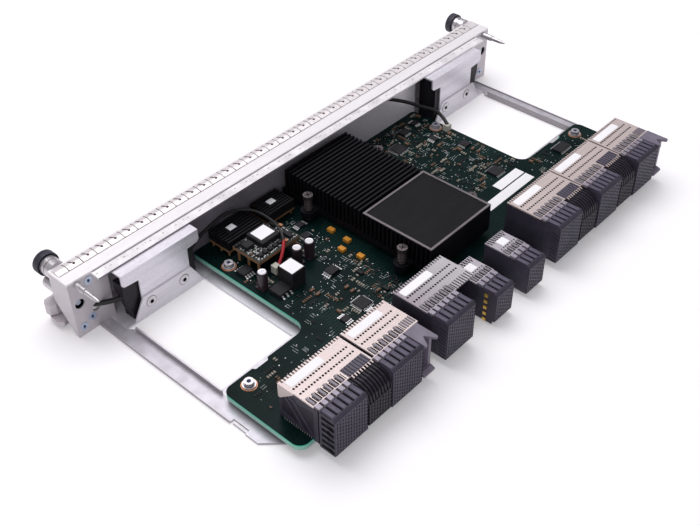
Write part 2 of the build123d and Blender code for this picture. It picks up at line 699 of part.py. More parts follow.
def sink_cover():
    bottom = SINK_TOP - SINK_COVER_THICKNESS
    plate = box(SINK_X0, SINK_X1, SINK_COVER_Y0, SINK_Y1, bottom, SINK_TOP)
    rim = SINK_COVER_RIM
    well = box(SINK_X0 + rim, SINK_X1 - rim, SINK_COVER_Y0 + rim, SINK_Y1 - rim,
               SINK_TOP - SINK_COVER_RIM_RISE, SINK_TOP + 1)
    return plate - well


def chip_package():
    middle = (SINK_X0 + SINK_X1) / 2
    carrier = box(middle - 24, middle + 24, 58.0, 106.0, BOARD_TOP, BOARD_TOP + 1.6)
    lid = box(middle - 19, middle + 19, 63.0, 101.0, BOARD_TOP + 1.6, SINK_BASE_BOTTOM)
    return carrier + lid


def spring_screws():
    out = []
    for y in SPRING_SCREW_Y:
        for edge, way in ((SINK_X1, 1), (SINK_X0, -1)):
            x = edge + way * SPRING_SCREW_REACH
            stem = cylinder_z(x, y, 1.6, BOARD_TOP, 26.0)
            head = cylinder_z(x, y, 3.2, 23.6, 26.4)
            out.append(stem + head)
    return out


def screw_springs():
    out = []
    for y in SPRING_SCREW_Y:
        for edge, way in ((SINK_X1, 1), (SINK_X0, -1)):
            x = edge + way * SPRING_SCREW_REACH
            pieces = []
            turns = 5
            pitch = (23.6 - SINK_BASE_TOP) / turns
            for k in range(turns):
                z0 = SINK_BASE_TOP + k * pitch
                pieces.append(cylinder_z(x, y, 2.7, z0, z0 + pitch * 0.5))
                pieces.append(cylinder_z(x, y, 2.3, z0 + pitch * 0.5, z0 + pitch))
            out.append(join(pieces) - cylinder_z(x, y, 1.9, 0, 40))
    return out


# Power section: two finned bricks on legs, low board with parts, cans and a tall choke
BRICKS = ((64.0, 92.5, 18.8, 36.8, 81.2, 26.8), (36.0, 58.0, 18.8, 35.4, 47.5, 26.6))
BRICK_BOARD_BOTTOM = 11.0
BRICK_BOARD_TOP = 12.6
BRICK_TOP = 19.0


def brick_boards():
    out = []
    for x0, x1, y0, y1, pad_x, pad_y in BRICKS:
        pieces = [box(x0, x1, y0, y1, BRICK_BOARD_BOTTOM, BRICK_BOARD_TOP)]
        for x in (x0 + 1.5, x1 - 1.5):
            for y in (y0 + 2.0, (y0 + y1) / 2, y1 - 2.0):
                pieces.append(cylinder_z(x, y, 0.8, BOARD_TOP, BRICK_BOARD_BOTTOM + 0.5))
        pieces.append(box(x0 + 5, x1 - 5, y0 + 3.5, y1 - 3.5, BOARD_TOP + 1.2, BRICK_BOARD_BOTTOM))
        out.append(join(pieces))
    return out


def brick_sinks():
    out = []
    fins = 8
    for x0, x1, y0, y1, pad_x, pad_y in BRICKS:
        pieces = [box(x0, x1, y0, y1, BRICK_BOARD_TOP, 14.2)]
        for k in range(fins):
            y = y0 + k * (y1 - y0 - 1.1) / (fins - 1)
            pieces.append(box(x0, x1, y, y + 1.1, 14.2, BRICK_TOP))
        pieces.append(box(pad_x - 4.2, pad_x + 4.2, pad_y - 3.4, pad_y + 3.4, 14.0, BRICK_TOP))
        out.append(join(pieces))
    return out


CONVERTER_X0 = 58.5
CONVERTER_X1 = 92.0
CONVERTER_Y0 = 39.6
CONVERTER_Y1 = 62.4
CONVERTER_TOP = 18.0


def converter_board():
    plate = box(CONVERTER_X0, CONVERTER_X1, CONVERTER_Y0, CONVERTER_Y1, CONVERTER_TOP - 2.0, CONVERTER_TOP)
    pieces = [plate]
    for x in (CONVERTER_X0 + 2.0, CONVERTER_X1 - 2.0):
        for y in (CONVERTER_Y0 + 3.0, (CONVERTER_Y0 + CONVERTER_Y1) / 2, CONVERTER_Y1 - 3.0):
            pieces.append(cylinder_z(x, y, 0.9, BOARD_TOP, CONVERTER_TOP - 1.5))
    return join(pieces)


def converter_parts():
    top = CONVERTER_TOP
    out = []
    out.append(box(67.0, 81.5, 40.6, 54.6, top, top + 3.4))
    out.append(box(83.6, 89.4, 44.2, 49.6, top, top + 2.6))
    out.append(box(62.0, 64.6, 53.6, 60.4, top, top + 1.8))
    out.append(box(60.0, 63.4, 41.0, 45.4, top, top + 1.6))
    for k in range(3):
        out.append(box(85.0 + 2.4 * k, 86.8 + 2.4 * k, 40.8, 42.8, top, top + 1.4))
    for k in range(5):
        out.append(box(70.0 + 4.0 * k, 72.6 + 4.0 * k, 57.0, 59.6, top, top + 1.3))
    out.append(box(66.0, 84.0, 43.0, 59.0, BOARD_TOP + 5.0, top - 2.0))
    return out


def can_capacitors():
    out = []
    for x, y in ((60.2, 71.8), (69.4, 70.6), (98.0, 70.8)):
        base = box(x - 3.3, x + 3.3, y - 3.3, y + 3.3, BOARD_TOP, BOARD_TOP + 1.2)
        can = cylinder_z(x, y, 3.15, BOARD_TOP + 1.2, 20.0)
        can = fillet(can.edges().filter_by(GeomType.CIRCLE).group_by(Axis.Z)[-1], 0.7)
        out.append(base + can)
    return out


def tall_block():
    return box(78.0, 88.6, 74.0, 85.8, BOARD_TOP, 20.0)


def board_chips():
    out = []
    bodies = (
        (61.6, 91.3, 7.0, 6.0, 2.2),
        (93.6, 80.6, 9.6, 9.0, 2.8),
        (96.0, 53.4, 7.5, 6.5, 2.4),
        (70.1, 122.4, 8.4, 8.4, 1.4),
        (-82.7, 104.3, 9.0, 8.0, 1.6),
        (-134.6, 121.6, 12.0, 7.0, 1.4),
        (86.0, 124.0, 5.0, 4.0, 1.2),
        (71.0, 132.0, 5.0, 3.6, 1.2),
        (51.4, 104.2, 2.2, 4.2, 1.3),
        (51.8, 124.6, 2.2, 4.2, 1.3),
        (48.0, 57.0, 5.0, 5.0, 1.4),
        (43.0, 47.0, 4.6, 4.6, 1.4),
        (-60.0, 40.0, 9.0, 9.0, 1.5),
        (-78.0, 30.0, 6.0, 6.0, 1.4),
        (-92.0, 28.0, 5.0, 4.0, 1.4),
        (-86.0, 50.0, 4.0, 6.0, 1.4),
        (-95.0, 70.0, 6.0, 6.0, 1.4),
    )
    for x, y, wx, wy, h in bodies:
        out.append(box(x - wx / 2, x + wx / 2, y - wy / 2, y + wy / 2, BOARD_TOP, BOARD_TOP + h))
    return out


def tantalum_capacitors():
    out = []
    for x, y in ((34.2, 65.2), (34.8, 79.0), (43.3, 82.5), (40.7, 95.2)):
        out.append(box(x - 1.6, x + 1.6, y - 2.2, y + 2.2, BOARD_TOP, BOARD_TOP + 2.1))
    return out


def wire_headers():
    near = box(81.4, 85.4, 64.6, 69.0, BOARD_TOP, 13.2)
    far = box(-103.2, -98.8, 47.6, 51.8, BOARD_TOP, 12.6)
    near = near - wire_hole(NEAR_WIRE, NEAR_WIRE_RADIUS)
    far = far - wire_hole(FAR_WIRE, FAR_WIRE_RADIUS)
    return [near, far]


# Connector pieces; x_left is the side of the module nearer the +X end
def plate_slots(x_left, columns, y0, y1):
    cuts = []
    for k in range(columns):
        x = x_left - COLUMN_PITCH * (k + 0.5)
        cuts.append(box(x - 0.28, x + 0.28, y0, y1, PLATE_TOP - 2, PLATE_TOP + 1))
    return cuts


def comb_cuts(x_left, width, y_back):
    cuts = []
    count = int((width - 1.0) / COLUMN_PITCH)
    first = x_left - (width - (count - 1) * COLUMN_PITCH) / 2
    for k in range(count):
        x = first - COLUMN_PITCH * k
        cuts.append(box(x - 0.5, x + 0.5, y_back - 1, y_back + 1.9, PLATE_TOP - 2, PLATE_TOP + 1))
    return cuts


def module_width(number):
    kind = MODULE_KIND[number]
    if kind == "block":
        return WIDTH_BLOCK_MODULE
    if kind == "guide":
        return WIDTH_GUIDE_MODULE
    return WIDTH_OPEN_MODULE


def front_left(number):
    return MODULE_LEFT[number] + FRONT_SHIFT[number]


def module_plate(number):
    x_left = MODULE_LEFT[number]
    width = module_width(number)
    low = PLATE_TOP - PLATE_SHEET
    plate = box(x_left - width, x_left, PLATE_BACK_Y, PLATE_FRONT_Y, low, PLATE_TOP)
    cuts = comb_cuts(x_left, width, PLATE_BACK_Y)
    cuts += plate_slots(x_left, SIGNAL_COLUMNS, PLATE_FRONT_Y - 5.4, PLATE_FRONT_Y - 0.6)
    if MODULE_KIND[number] == "open":
        for k in range(8):
            x = x_left - SIGNAL_COLUMNS * COLUMN_PITCH - 1.2 - COLUMN_PITCH * k
            y0 = PLATE_FRONT_Y - 5.4
            cuts.append(box(x - 1.0, x - 0.1, y0, PLATE_FRONT_Y + 1, low - 1, PLATE_TOP + 1))
    plate = plate - cuts
    pieces = [plate]
    for k in range(SIGNAL_COLUMNS // 2):
        x = front_left(number) - COLUMN_PITCH * (2 * k + 1)
        pieces.append(box(x - 1.3, x + 1.3, PLATE_FRONT_Y - 0.4, LUG_END_Y, low, PLATE_TOP + 0.2))
    if number == 1:
        wedge = [
            (PLATE_BACK_Y, low + 0.1),
            (PLATE_BACK_Y, 22.4),
            (PLATE_BACK_Y + 1.5, 22.4),
            (PLATE_BACK_Y + 11.0, low + 0.1),
        ]
        pieces.append(prism_x(wedge, x_left, x_left + 0.5))
        pieces.append(box(x_left - 0.5, x_left + 0.5, PLATE_BACK_Y, PLATE_BACK_Y + 11.0, low, PLATE_TOP))
    return join(pieces)


def module_body(number):
    x_left = MODULE_LEFT[number]
    width = module_width(number)
    low = PLATE_TOP - PLATE_SHEET
    y_mid = BOARD_REAR_Y - 9.0
    pieces = []
    if MODULE_KIND[number] == "open":
        signal = SIGNAL_COLUMNS * COLUMN_PITCH + 0.4
        pieces.append(box(x_left - width, x_left, PLATE_BACK_Y, y_mid - 6, BOARD_TOP, low))
        pieces.append(box(x_left - signal, x_left, y_mid - 6, BOARD_REAR_Y, BOARD_TOP, low))
        pieces.append(box(x_left - signal, x_left, BOARD_REAR_Y, HOUSING_BACK_Y, HOUSING_BOTTOM + 1.5, low))
    else:
        pieces.append(box(x_left - width, x_left, PLATE_BACK_Y, BOARD_REAR_Y, BOARD_TOP, low))
        pieces.append(box(x_left - width, x_left, BOARD_REAR_Y, PLATE_FRONT_Y, HOUSING_BOTTOM + 1.5, low))
        signal = SIGNAL_COLUMNS * COLUMN_PITCH + 0.4
        left = front_left(number)
        pieces.append(box(left - signal, left, PLATE_FRONT_Y, HOUSING_BACK_Y, HOUSING_BOTTOM + 1.5, low))
    body = join(pieces)
    cuts = []
    count = int((width - 1.0) / COLUMN_PITCH)
    first = x_left - (width - (count - 1) * COLUMN_PITCH) / 2
    for k in range(count):
        x = first - COLUMN_PITCH * k
        cuts.append(box(x - 0.5, x + 0.5, PLATE_BACK_Y - 1, PLATE_BACK_Y + 1.2, BOARD_TOP + 3, low + 1))
    return body - cuts


def housing(x_left, width, y0, y1, z0, z1):
    shape = box(x_left - width, x_left, y0, y1, z0, z1)
    front_top = shape.edges().filter_by(Axis.X).group_by(Axis.Y)[-1].group_by(Axis.Z)[-1]
    shape = chamfer(front_top, 1.4)
    cuts = []
    for k in range(int(width / (2 * COLUMN_PITCH)) + 1):
        x = x_left - 2 * COLUMN_PITCH * k
        cuts.append(box(x - 0.45, x + 0.45, y0 + 1.0, y1 - 1.9, z1 - 0.9, z1 + 1))
    return shape - cuts


def module_front(number):
    width = SIGNAL_COLUMNS * COLUMN_PITCH
    x_left = front_left(number)
    shape = housing(x_left, width, HOUSING_BACK_Y, HOUSING_FRONT_Y, HOUSING_BOTTOM, HOUSING_TOP)
    cuts = []
    for k in range(9):
        z = HOUSING_TOP - 5.0 - 2.4 * k
        back = HOUSING_BACK_Y + 5.4
        front = HOUSING_FRONT_Y - 0.8
        points = [(back, z), (front, z - 1.4), (front, z - 2.4), (back, z - 1.0)]
        slot = prism_x(points, x_left - 0.5, x_left + 1)
        cuts.append(slot)
    return shape - cuts


# Black finned block beside the signal columns, top rounded over to the front
def finned_block(number):
    x_left = MODULE_LEFT[number] - SIGNAL_COLUMNS * COLUMN_PITCH - 0.9
    x_right = MODULE_LEFT[number] - WIDTH_BLOCK_MODULE + 0.9
    y0 = PLATE_FRONT_Y
    y1 = HOUSING_FRONT_Y
    top = 30.8
    profile = [
        (y0, 6.8),
        (y0, top),
        (y0 + 6.0, top),
        (y0 + 10.2, top - 1.6),
        (y1 - 0.9, top - 4.6),
        (y1, top - 8.5),
        (y1, 6.8),
    ]
    body = prism_x(profile, x_right, x_left)
    cuts = []
    width = x_left - x_right
    for k in range(8):
        x = x_right + width * (k + 0.5) / 8
        groove = [
            (y0 - 1, top - 0.9),
            (y0 + 5.8, top - 0.9),
            (y0 + 9.7, top - 2.4),
            (y1 - 1.7, top - 5.2),
            (y1 - 0.8, top - 8.7),
            (y1 - 0.8, 12.0),
            (y1 + 1, 12.0),
            (y1 + 1, top + 1),
            (y0 - 1, top + 1),
        ]
        cuts.append(prism_x(groove, x - 0.45, x + 0.45))
    return body - cuts


# Guide piece with a V mouth at the free end of modules 2 and 8
def guide_piece(number):
    x_left = front_left(number) - SIGNAL_COLUMNS * COLUMN_PITCH - 0.5
    x_right = x_left - GUIDE_WIDTH
    middle = (x_left + x_right) / 2
    y0 = PLATE_FRONT_Y
    y1 = HOUSING_FRONT_Y + 1.0
    roof = rounded_prism_z(
        [
            (x_left, y0),
            (x_left, y1),
            (x_left - 1.6, y1),
            (middle, HOUSING_BACK_Y + 5.2),
            (x_right + 1.6, y1),
            (x_right, y1),
            (x_right, y0),
        ],
        [0.2, 0.6, 0.6, 0.5, 0.6, 0.6, 0.2],
        PLATE_TOP - 1.5,
        PLATE_TOP,
    )
    body = box(x_right + 0.8, x_left - 0.8, y0, y1 - 3.6, 7.2, PLATE_TOP - 1.5)
    wide_y = y1 - 2.6
    deep_y = y1 - 7.8
    mouth_points = [(middle - 2.6, wide_y), (middle + 2.6, wide_y)]
    mouth_points += [(middle + 1.0, deep_y), (middle - 1.0, deep_y)]
    mouth = prism_z(mouth_points, 9.4, 40)
    foot_profile = [(y0, 7.2), (y0, 9.4), (y1 - 2.4, 9.4), (y1 - 0.2, 8.4), (y1 - 0.2, 7.2)]
    foot = prism_x(foot_profile, x_right + 0.8, x_left - 0.8)
    return roof + (body - mouth) + foot


def small_plate(number):
    x_left = SMALL_LEFT[number]
    low = SMALL_PLATE_TOP - PLATE_SHEET
    plate = box(x_left - SMALL_WIDTH, x_left, SMALL_BACK_Y, SMALL_PLATE_FRONT_Y, low, SMALL_PLATE_TOP)
    cuts = []
    for k in range(8):
        x = x_left - COLUMN_PITCH * (k + 0.5)
        y0 = SMALL_BACK_Y - 1
        cuts.append(box(x - 0.35, x + 0.35, y0, y0 + 3.6, low - 1, SMALL_PLATE_TOP + 1))
        y0 = SMALL_PLATE_FRONT_Y - 5.0
        cuts.append(box(x - 0.28, x + 0.28, y0, y0 + 4.4, low - 1, SMALL_PLATE_TOP + 1))
    plate = plate - cuts
    pieces = [plate]
    for k in range(4):
        x = x_left - COLUMN_PITCH * (2 * k + 1)
        y0 = SMALL_PLATE_FRONT_Y - 0.4
        pieces.append(box(x - 1.3, x + 1.3, y0, SMALL_HOUSING_BACK_Y, low, SMALL_PLATE_TOP + 0.2))
    return join(pieces)


def small_housing(number):
    x_left = SMALL_LEFT[number]
    low = SMALL_PLATE_TOP - PLATE_SHEET
    front = housing(x_left, SMALL_WIDTH, SMALL_HOUSING_BACK_Y, SMALL_FRONT_Y, SMALL_BOTTOM, SMALL_TOP)
    rear = box(x_left - SMALL_WIDTH, x_left, SMALL_BACK_Y, BOARD_REAR_Y, BOARD_TOP, low)
    middle = box(x_left - SMALL_WIDTH, x_left, BOARD_REAR_Y, SMALL_HOUSING_BACK_Y, SMALL_BOTTOM + 0.6, low)
    whole = front + rear + middle
    if number == 4:
        y0 = BOARD_REAR_Y + 2
        y1 = SMALL_FRONT_Y - SMALL_SKIRT_GAP
        whole = whole + box(x_left - 1.2, x_left, y0, y1, SMALL_SKIRT_BOTTOM, SMALL_BOTTOM + 2)
    return whole


def side_contacts():
    out = []
    x = SMALL_LEFT[4]
    for k in range(5):
        z = SMALL_SKIRT_BOTTOM + 0.3 + CONTACT_PITCH * k
        out.append(box(x, x + 0.7, CONTACT_Y, CONTACT_Y + 2.2, z, z + 2.1))
    return out


# Bare white labels
def blank_labels():
    t = LABEL_THICKNESS
    out = []
    for number in MODULE_LEFT:
        x = MODULE_LEFT[number] - 2.3
        out.append(box(x - 23.3, x, 148.6, 152.4, PLATE_TOP, PLATE_TOP + t))
    for number in SMALL_LEFT:
        x = SMALL_LEFT[number] - 5.0
        out.append(box(x - 6.4, x, 157.4, 163.0, SMALL_PLATE_TOP, SMALL_PLATE_TOP + t))
    for x0, x1, y0, y1 in ((-95.0, -69.0, 112.0, 119.0), (-95.0, -47.0, 120.0, 127.0)):
        out.append(box(x0, x1, y0, y1, BOARD_TOP, BOARD_TOP + t))
    for x0, x1, y0, y1, pad_x, pad_y in BRICKS:
        out.append(box(pad_x - 2.6, pad_x + 2.6, pad_y - 2.2, pad_y + 2.2, BRICK_TOP, BRICK_TOP + t))
    out.append(box(68.6, 79.6, 42.0, 51.6, CONVERTER_TOP + 3.4, CONVERTER_TOP + 3.4 + t))
    out.append(box(78.6, 88.0, 74.6, 85.2, 20.0, 20.0 + t))
    return out


# Write every node
save("front_panel", [front_panel()])
save("rear_wall", [rear_wall()])
save("gasket_strip", [gasket_strip()])
save("end_block_near", [end_block(0.0)])
save("end_block_far", [mirrored(end_block(FAR_END_SHIFT))])
save("block_screws", block_screws())
save("thumb_ferrules", [ferrule(), mirrored(ferrule())])
save_pair("thumbscrew", thumbscrew())
save_pair("thumb_cap", thumb_cap())
save_pair("ejector_lever", lever())
save("lever_pins", [lever_pin(1), lever_pin(-1)])
save_pair("release_button", release_button())
save("lever_guard_near", [guard()])
save("lever_guard_far", [Pos(FAR_END_SHIFT, 0, 0) * mirrored(guard())])
save("guard_rivets", rivets())
save("switch_carrier_near", [near_carrier()])
save("switch_carrier_far", [far_carrier()])
save("tray_sill", [sill()])
save_pair("tray_rail", rail())
save("tray_pan", [pan()])
save("circuit_board", [board()])
save("board_standoffs", standoffs())
save("board_screws", board_screws())
save("heatsink", [heatsink()])
save("heatsink_cover", [sink_cover()])
save("chip_package", [chip_package()])
save("spring_screws", spring_screws())
save("screw_springs", screw_springs())
save("brick_boards", brick_boards())
save("brick_sinks", brick_sinks())
save("converter_board", [converter_board()])
save("converter_parts", converter_parts())
save("can_capacitors", can_capacitors())
save("tall_block", [tall_block()])
save("board_chips", board_chips())
save("tantalum_capacitors", tantalum_capacitors())
save("wire_headers", wire_headers())
save("wire_near", [wire(NEAR_WIRE, NEAR_WIRE_RADIUS)])
save("wire_far", [wire(FAR_WIRE, FAR_WIRE_RADIUS)])
save("end_leads", [wire(END_LEAD, END_LEAD_RADIUS), wire(FAR_LEAD, END_LEAD_RADIUS)])
for name, numbers in (("near", (1, 2, 3)), ("far", (6, 7, 8))):
    save("connector_plates_" + name, [module_plate(number) for number in numbers])
    save("connector_fronts_" + name, [module_front(number) for number in numbers])
save("connector_bodies", [module_body(number) for number in MODULE_LEFT])
save("finned_blocks", [finned_block(number) for number in MODULE_LEFT if MODULE_KIND[number] == "block"])
save("guide_pieces", [guide_piece(number) for number in MODULE_LEFT if MODULE_KIND[number] == "guide"])
save("small_plates", [small_plate(number) for number in SMALL_LEFT])
save("small_housings", [small_housing(number) for number in SMALL_LEFT])
save("side_contacts", side_contacts())
save("blank_labels", blank_labels())
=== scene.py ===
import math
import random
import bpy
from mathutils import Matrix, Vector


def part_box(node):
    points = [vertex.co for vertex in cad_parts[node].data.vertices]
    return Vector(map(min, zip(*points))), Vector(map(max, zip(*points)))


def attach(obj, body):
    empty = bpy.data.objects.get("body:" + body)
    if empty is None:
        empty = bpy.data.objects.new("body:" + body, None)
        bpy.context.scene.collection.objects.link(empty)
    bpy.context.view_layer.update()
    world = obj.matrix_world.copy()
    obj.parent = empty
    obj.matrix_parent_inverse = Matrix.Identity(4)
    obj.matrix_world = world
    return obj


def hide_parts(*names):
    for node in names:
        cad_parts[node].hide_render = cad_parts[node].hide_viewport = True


bl_info = {
    "name": "Switch Fabric Card",
    "version": (1, 0, 0),
    "blender": (4, 5, 0),
    "location": "View3D > Sidebar > Switch Card",
    "description": "Dresses the packed switch fabric card piece by piece and sets a plain studio round it",
    "category": "Object",
}

import bpy
from bpy.props import FloatProperty, FloatVectorProperty, IntProperty, PointerProperty
from mathutils import Matrix, Vector

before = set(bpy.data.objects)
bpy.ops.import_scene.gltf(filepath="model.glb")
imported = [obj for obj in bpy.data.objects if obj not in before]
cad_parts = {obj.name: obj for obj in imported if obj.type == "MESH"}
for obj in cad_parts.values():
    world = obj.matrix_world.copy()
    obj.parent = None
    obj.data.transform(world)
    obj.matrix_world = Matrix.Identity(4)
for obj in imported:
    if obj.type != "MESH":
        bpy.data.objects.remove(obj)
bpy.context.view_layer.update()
MM = 0.001
QUARTER = math.pi / 2

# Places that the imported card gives: millimetres, as in the part's source
PANEL_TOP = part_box("front_panel")[1][2] / MM
PANEL_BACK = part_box("front_panel")[1][1] / MM
BOARD_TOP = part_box("circuit_board")[1][2] / MM
PLATE_TOP = 31.7
SMALL_PLATE_TOP = 24.1
COLUMN = 2.0
RIDGE_STEP = 2 * COLUMN
MODULES = {1: 158.8, 2: 113.6, 3: 71.6, 6: -34.2, 7: -78.6, 8: -123.1}
MODULE_KINDS = {1: "block", 2: "guide", 3: "open", 6: "block", 7: "block", 8: "guide"}
MODULE_WIDTHS = {"block": 43.2, "guide": 34.0, "open": 41.2}
FRONT_SHIFTS = {1: 0.0, 2: 2.4, 3: 0.0, 6: 0.0, 7: 0.0, 8: 0.4}
SMALL_MODULES = {4: 28.9, 5: -2.3}
HOUSING_FRONT = 183.6
HOUSING_LOW = 5.3
HOUSING_HIGH = 32.0
SMALL_FRONT = 184.9
SMALL_LOW = 3.2
SMALL_HIGH = 23.6
END_SHIFT = 2.8
FIRST_SEAM = 181.4
FINGER_STEP = 9.5
FINGERS = 38
GASKET_HALF = 188.3
BOARD_SCREWS = ((155.3, 119.2), (-155.3, 119.2), (98.2, 42.0), (-98.2, 42.0))
CANS = ((60.2, 71.8), (69.4, 70.6), (98.0, 70.8))
TANTALUMS = ((34.2, 65.2), (34.8, 79.0), (43.3, 82.5), (40.7, 95.2))


def tone(label, words, value):
    return FloatVectorProperty(
        name=label, description=words, subtype="COLOR", size=3, default=value, min=0, max=1
    )


def span(label, words, value, low, high):
    return FloatProperty(
        name=label, description=words, subtype="DISTANCE", unit="LENGTH", default=value, min=low, max=high
    )


class CardColours(bpy.types.PropertyGroup):
    """Base colours of the card's finishes"""

    panel: tone("Panel metal", "Pale satin metal of the front panel", (0.88, 0.85, 0.87))
    tray: tone("Tray metal", "Pale sheet metal of the tray's pan", (0.62, 0.595, 0.645))
    board: tone("Board", "Solder mask of the circuit board", (0.0028, 0.0120, 0.0112))
    plate: tone("Cover plates", "Warm plates over the connectors", (0.60, 0.505, 0.49))
    housing: tone("Connector housings", "Moulded contact housings", (0.048, 0.042, 0.062))
    black: tone("Black mouldings", "Black moulded plastic", (0.010, 0.008, 0.012))
    sink: tone("Heatsink", "Black anodised metal of the heatsink", (0.0055, 0.005, 0.007))


class CardSizes(bpy.types.PropertyGroup):
    """Sizes of the added detail"""

    hole: span("Pin hole radius", "Radius of a hole in a cover plate", 0.00068, 0.0002, 0.0009)
    spring_wire: span("Spring wire radius", "Radius of a heatsink spring's wire", 0.0004, 0.0002, 0.0008)
    knurls: IntProperty(
        name="Knurl count", description="Ribs round a thumbscrew's cap", default=42, min=12, max=90
    )
    chips: IntProperty(
        name="Small parts",
        description="Two-ended parts scattered on the board",
        default=620,
        min=50,
        max=1500,
    )


class StudioSettings(bpy.types.PropertyGroup):
    """Light and camera"""

    lens: FloatProperty(
        name="Focal length", description="In millimetres on a 36 mm sensor", default=52.06, min=20, max=120
    )
    key: FloatProperty(
        name="Overhead light",
        description="Power of the soft overhead light",
        subtype="POWER",
        unit="POWER",
        default=13.0,
        min=0,
        max=200,
    )
    sky: FloatProperty(
        name="Fill light", description="Strength of the even light from all round", default=0.42, min=0, max=2
    )


def colours():
    return bpy.context.scene.card_colours


def sizes():
    return bpy.context.scene.card_sizes


# Hand tools: each starts from one primitive and leaves its place in the mesh
def deselect():
    bpy.ops.object.select_all(action="DESELECT")


def pick(piece):
    deselect()
    piece.select_set(True)
    bpy.context.view_layer.objects.active = piece
    return piece


def settle(name):
    piece = bpy.context.active_object
    piece.name = name
    pick(piece)
    bpy.ops.object.transform_apply(location=True, rotation=True, scale=True)
    return piece


def block(name, x0, x1, y0, y1, z0, z1):
    deselect()
    middle = ((x0 + x1) / 2 * MM, (y0 + y1) / 2 * MM, (z0 + z1) / 2 * MM)
    size = (abs(x1 - x0) * MM, abs(y1 - y0) * MM, abs(z1 - z0) * MM)
    bpy.ops.mesh.primitive_cube_add(size=1, location=middle, scale=size)
    return settle(name)


def rod(name, x, y, radius, z0, z1, sides=16):
    deselect()
    middle = (x * MM, y * MM, (z0 + z1) / 2 * MM)
    bpy.ops.mesh.primitive_cylinder_add(
        vertices=sides, radius=radius * MM, depth=(z1 - z0) * MM, location=middle
    )
    return settle(name)


def rod_along_y(name, x, z, radius, y0, y1, sides=32):
    deselect()
    bpy.ops.mesh.primitive_cylinder_add(
        vertices=sides,
        radius=radius * MM,
        depth=(y1 - y0) * MM,
        location=(x * MM, (y0 + y1) / 2 * MM, z * MM),
        rotation=(QUARTER, 0, 0),
    )
    return settle(name)


def choose(piece, test, mode="FACE"):
    """Goes into edit mode with the faces or edges that pass the test selected"""
    pick(piece)
    bpy.ops.object.mode_set(mode="EDIT")
    bpy.ops.mesh.select_mode(type=mode)
    bpy.ops.mesh.select_all(action="DESELECT")
    bpy.ops.object.mode_set(mode="OBJECT")
    count = 0
    things = piece.data.polygons if mode == "FACE" else piece.data.edges
    for thing in things:
        thing.select = bool(test(thing))
        count += thing.select
    if not count:
        raise RuntimeError(piece.name + ": nothing to shape there")
    bpy.ops.object.mode_set(mode="EDIT")


def done():
    bpy.ops.object.mode_set(mode="OBJECT")


def facing(axis):
    """A test for the faces that look along an axis, such as +z"""
    index = "xyz".index(axis[1])
    sign = 1 if axis[0] == "+" else -1
    return lambda face: face.normal[index] * sign > 0.9


def extrude(x, y, z):
    bpy.ops.mesh.extrude_region_move(TRANSFORM_OT_translate={"value": (x * MM, y * MM, z * MM)})


def press(piece, axis, rim, step=0.0):
    """Frames the faces that look along an axis with a rim and pushes them along it"""
    choose(piece, facing(axis))
    bpy.ops.mesh.inset(thickness=rim * MM)
    if step:
        bpy.ops.transform.translate(value=[step * MM if one == axis[1] else 0 for one in "xyz"])
    done()
    return piece


def lean(piece, axis, move):
    """Moves the faces that look along an axis, which slants the piece"""
    choose(piece, facing(axis))
    bpy.ops.transform.translate(value=[one * MM for one in move])
    done()
    return piece


def soften(piece, width, segments=2):
    pick(piece)
    bevel = piece.modifiers.new("edge", "BEVEL")
    bevel.width = width * MM
    bevel.segments = segments
    bevel.limit_method = "ANGLE"
    bevel.angle_limit = math.radians(40)
    bpy.ops.object.modifier_apply(modifier=bevel.name)
    return piece


def smooth(piece, angle=35):
    pick(piece)
    bpy.ops.object.shade_smooth_by_angle(angle=math.radians(angle))
    return piece


def gather(pieces, name):
    """Joins finished shapes of one make into one piece"""
    deselect()
    for piece in pieces:
        piece.select_set(True)
    bpy.context.view_layer.objects.active = pieces[0]
    if len(pieces) > 1:
        bpy.ops.object.join()
    joined = bpy.context.active_object
    joined.name = name
    return joined


def repeat(master, places, name):
    """Copies a master shape to each place, each copy with its own mesh, and joins them"""
    copies = []
    for place in places:
        twin = master.copy()
        twin.data = master.data.copy()
        twin.data.transform(place)
        bpy.context.collection.objects.link(twin)
        copies.append(twin)
    bpy.data.objects.remove(master)
    return gather(copies, name)


def shift(x, y, z, turn=0.0, scale=(1, 1, 1)):
    place = Matrix.Translation((x * MM, y * MM, z * MM)) @ Matrix.Rotation(turn, 4, "Z")
    return place @ Matrix.Diagonal((scale[0], scale[1], scale[2], 1))


def dress(piece, finishes, body="card"):
    """Gives a piece its finishes and the body that carries it"""
    piece.data.materials.clear()
    for name in finishes.split():
        piece.data.materials.append(finish(name))
    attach(piece, body)
    return piece


def set_out(master, places, name, finishes):
    return dress(repeat(master, places, name), finishes)


# Finishes: each adder returns the output that the next one takes
def add_node(tree, kind, output, sockets, **settings):
    node = tree.nodes.new("ShaderNode" + kind)
    for name, value in settings.items():
        setattr(node, name, value)
    for name, value in sockets.items():
        if isinstance(value, bpy.types.NodeSocket):
            tree.links.new(value, node.inputs[name])
        else:
            node.inputs[name].default_value = value
    return node.outputs[output]


def ramp(tree, value, low, high, first=0.0, last=1.0):
    limits = {"Value": value, "From Min": low, "From Max": high, "To Min": first, "To Max": last}
    return add_node(tree, "MapRange", "Result", limits)


def mix(tree, factor, first, second):
    return add_node(tree, "Mix", "Result", {"Factor": factor, "A": first, "B": second}, data_type="RGBA")


def sum_of(tree, operation, *values):
    return add_node(tree, "Math", "Value", dict(enumerate(values)), operation=operation)


def part_of(tree, vector, axis):
    return add_node(tree, "SeparateXYZ", axis, {"Vector": vector})


def object_place(tree):
    return tree.nodes["Texture Coordinate"].outputs["Object"]


def base_of(tree):
    return tree.nodes["Principled BSDF"].inputs["Base Color"]


def lean_of(tree, axis):
    """How squarely a face looks along an axis, either way"""
    normal = add_node(tree, "NewGeometry", "Normal", {})
    return sum_of(tree, "ABSOLUTE", part_of(tree, normal, axis))


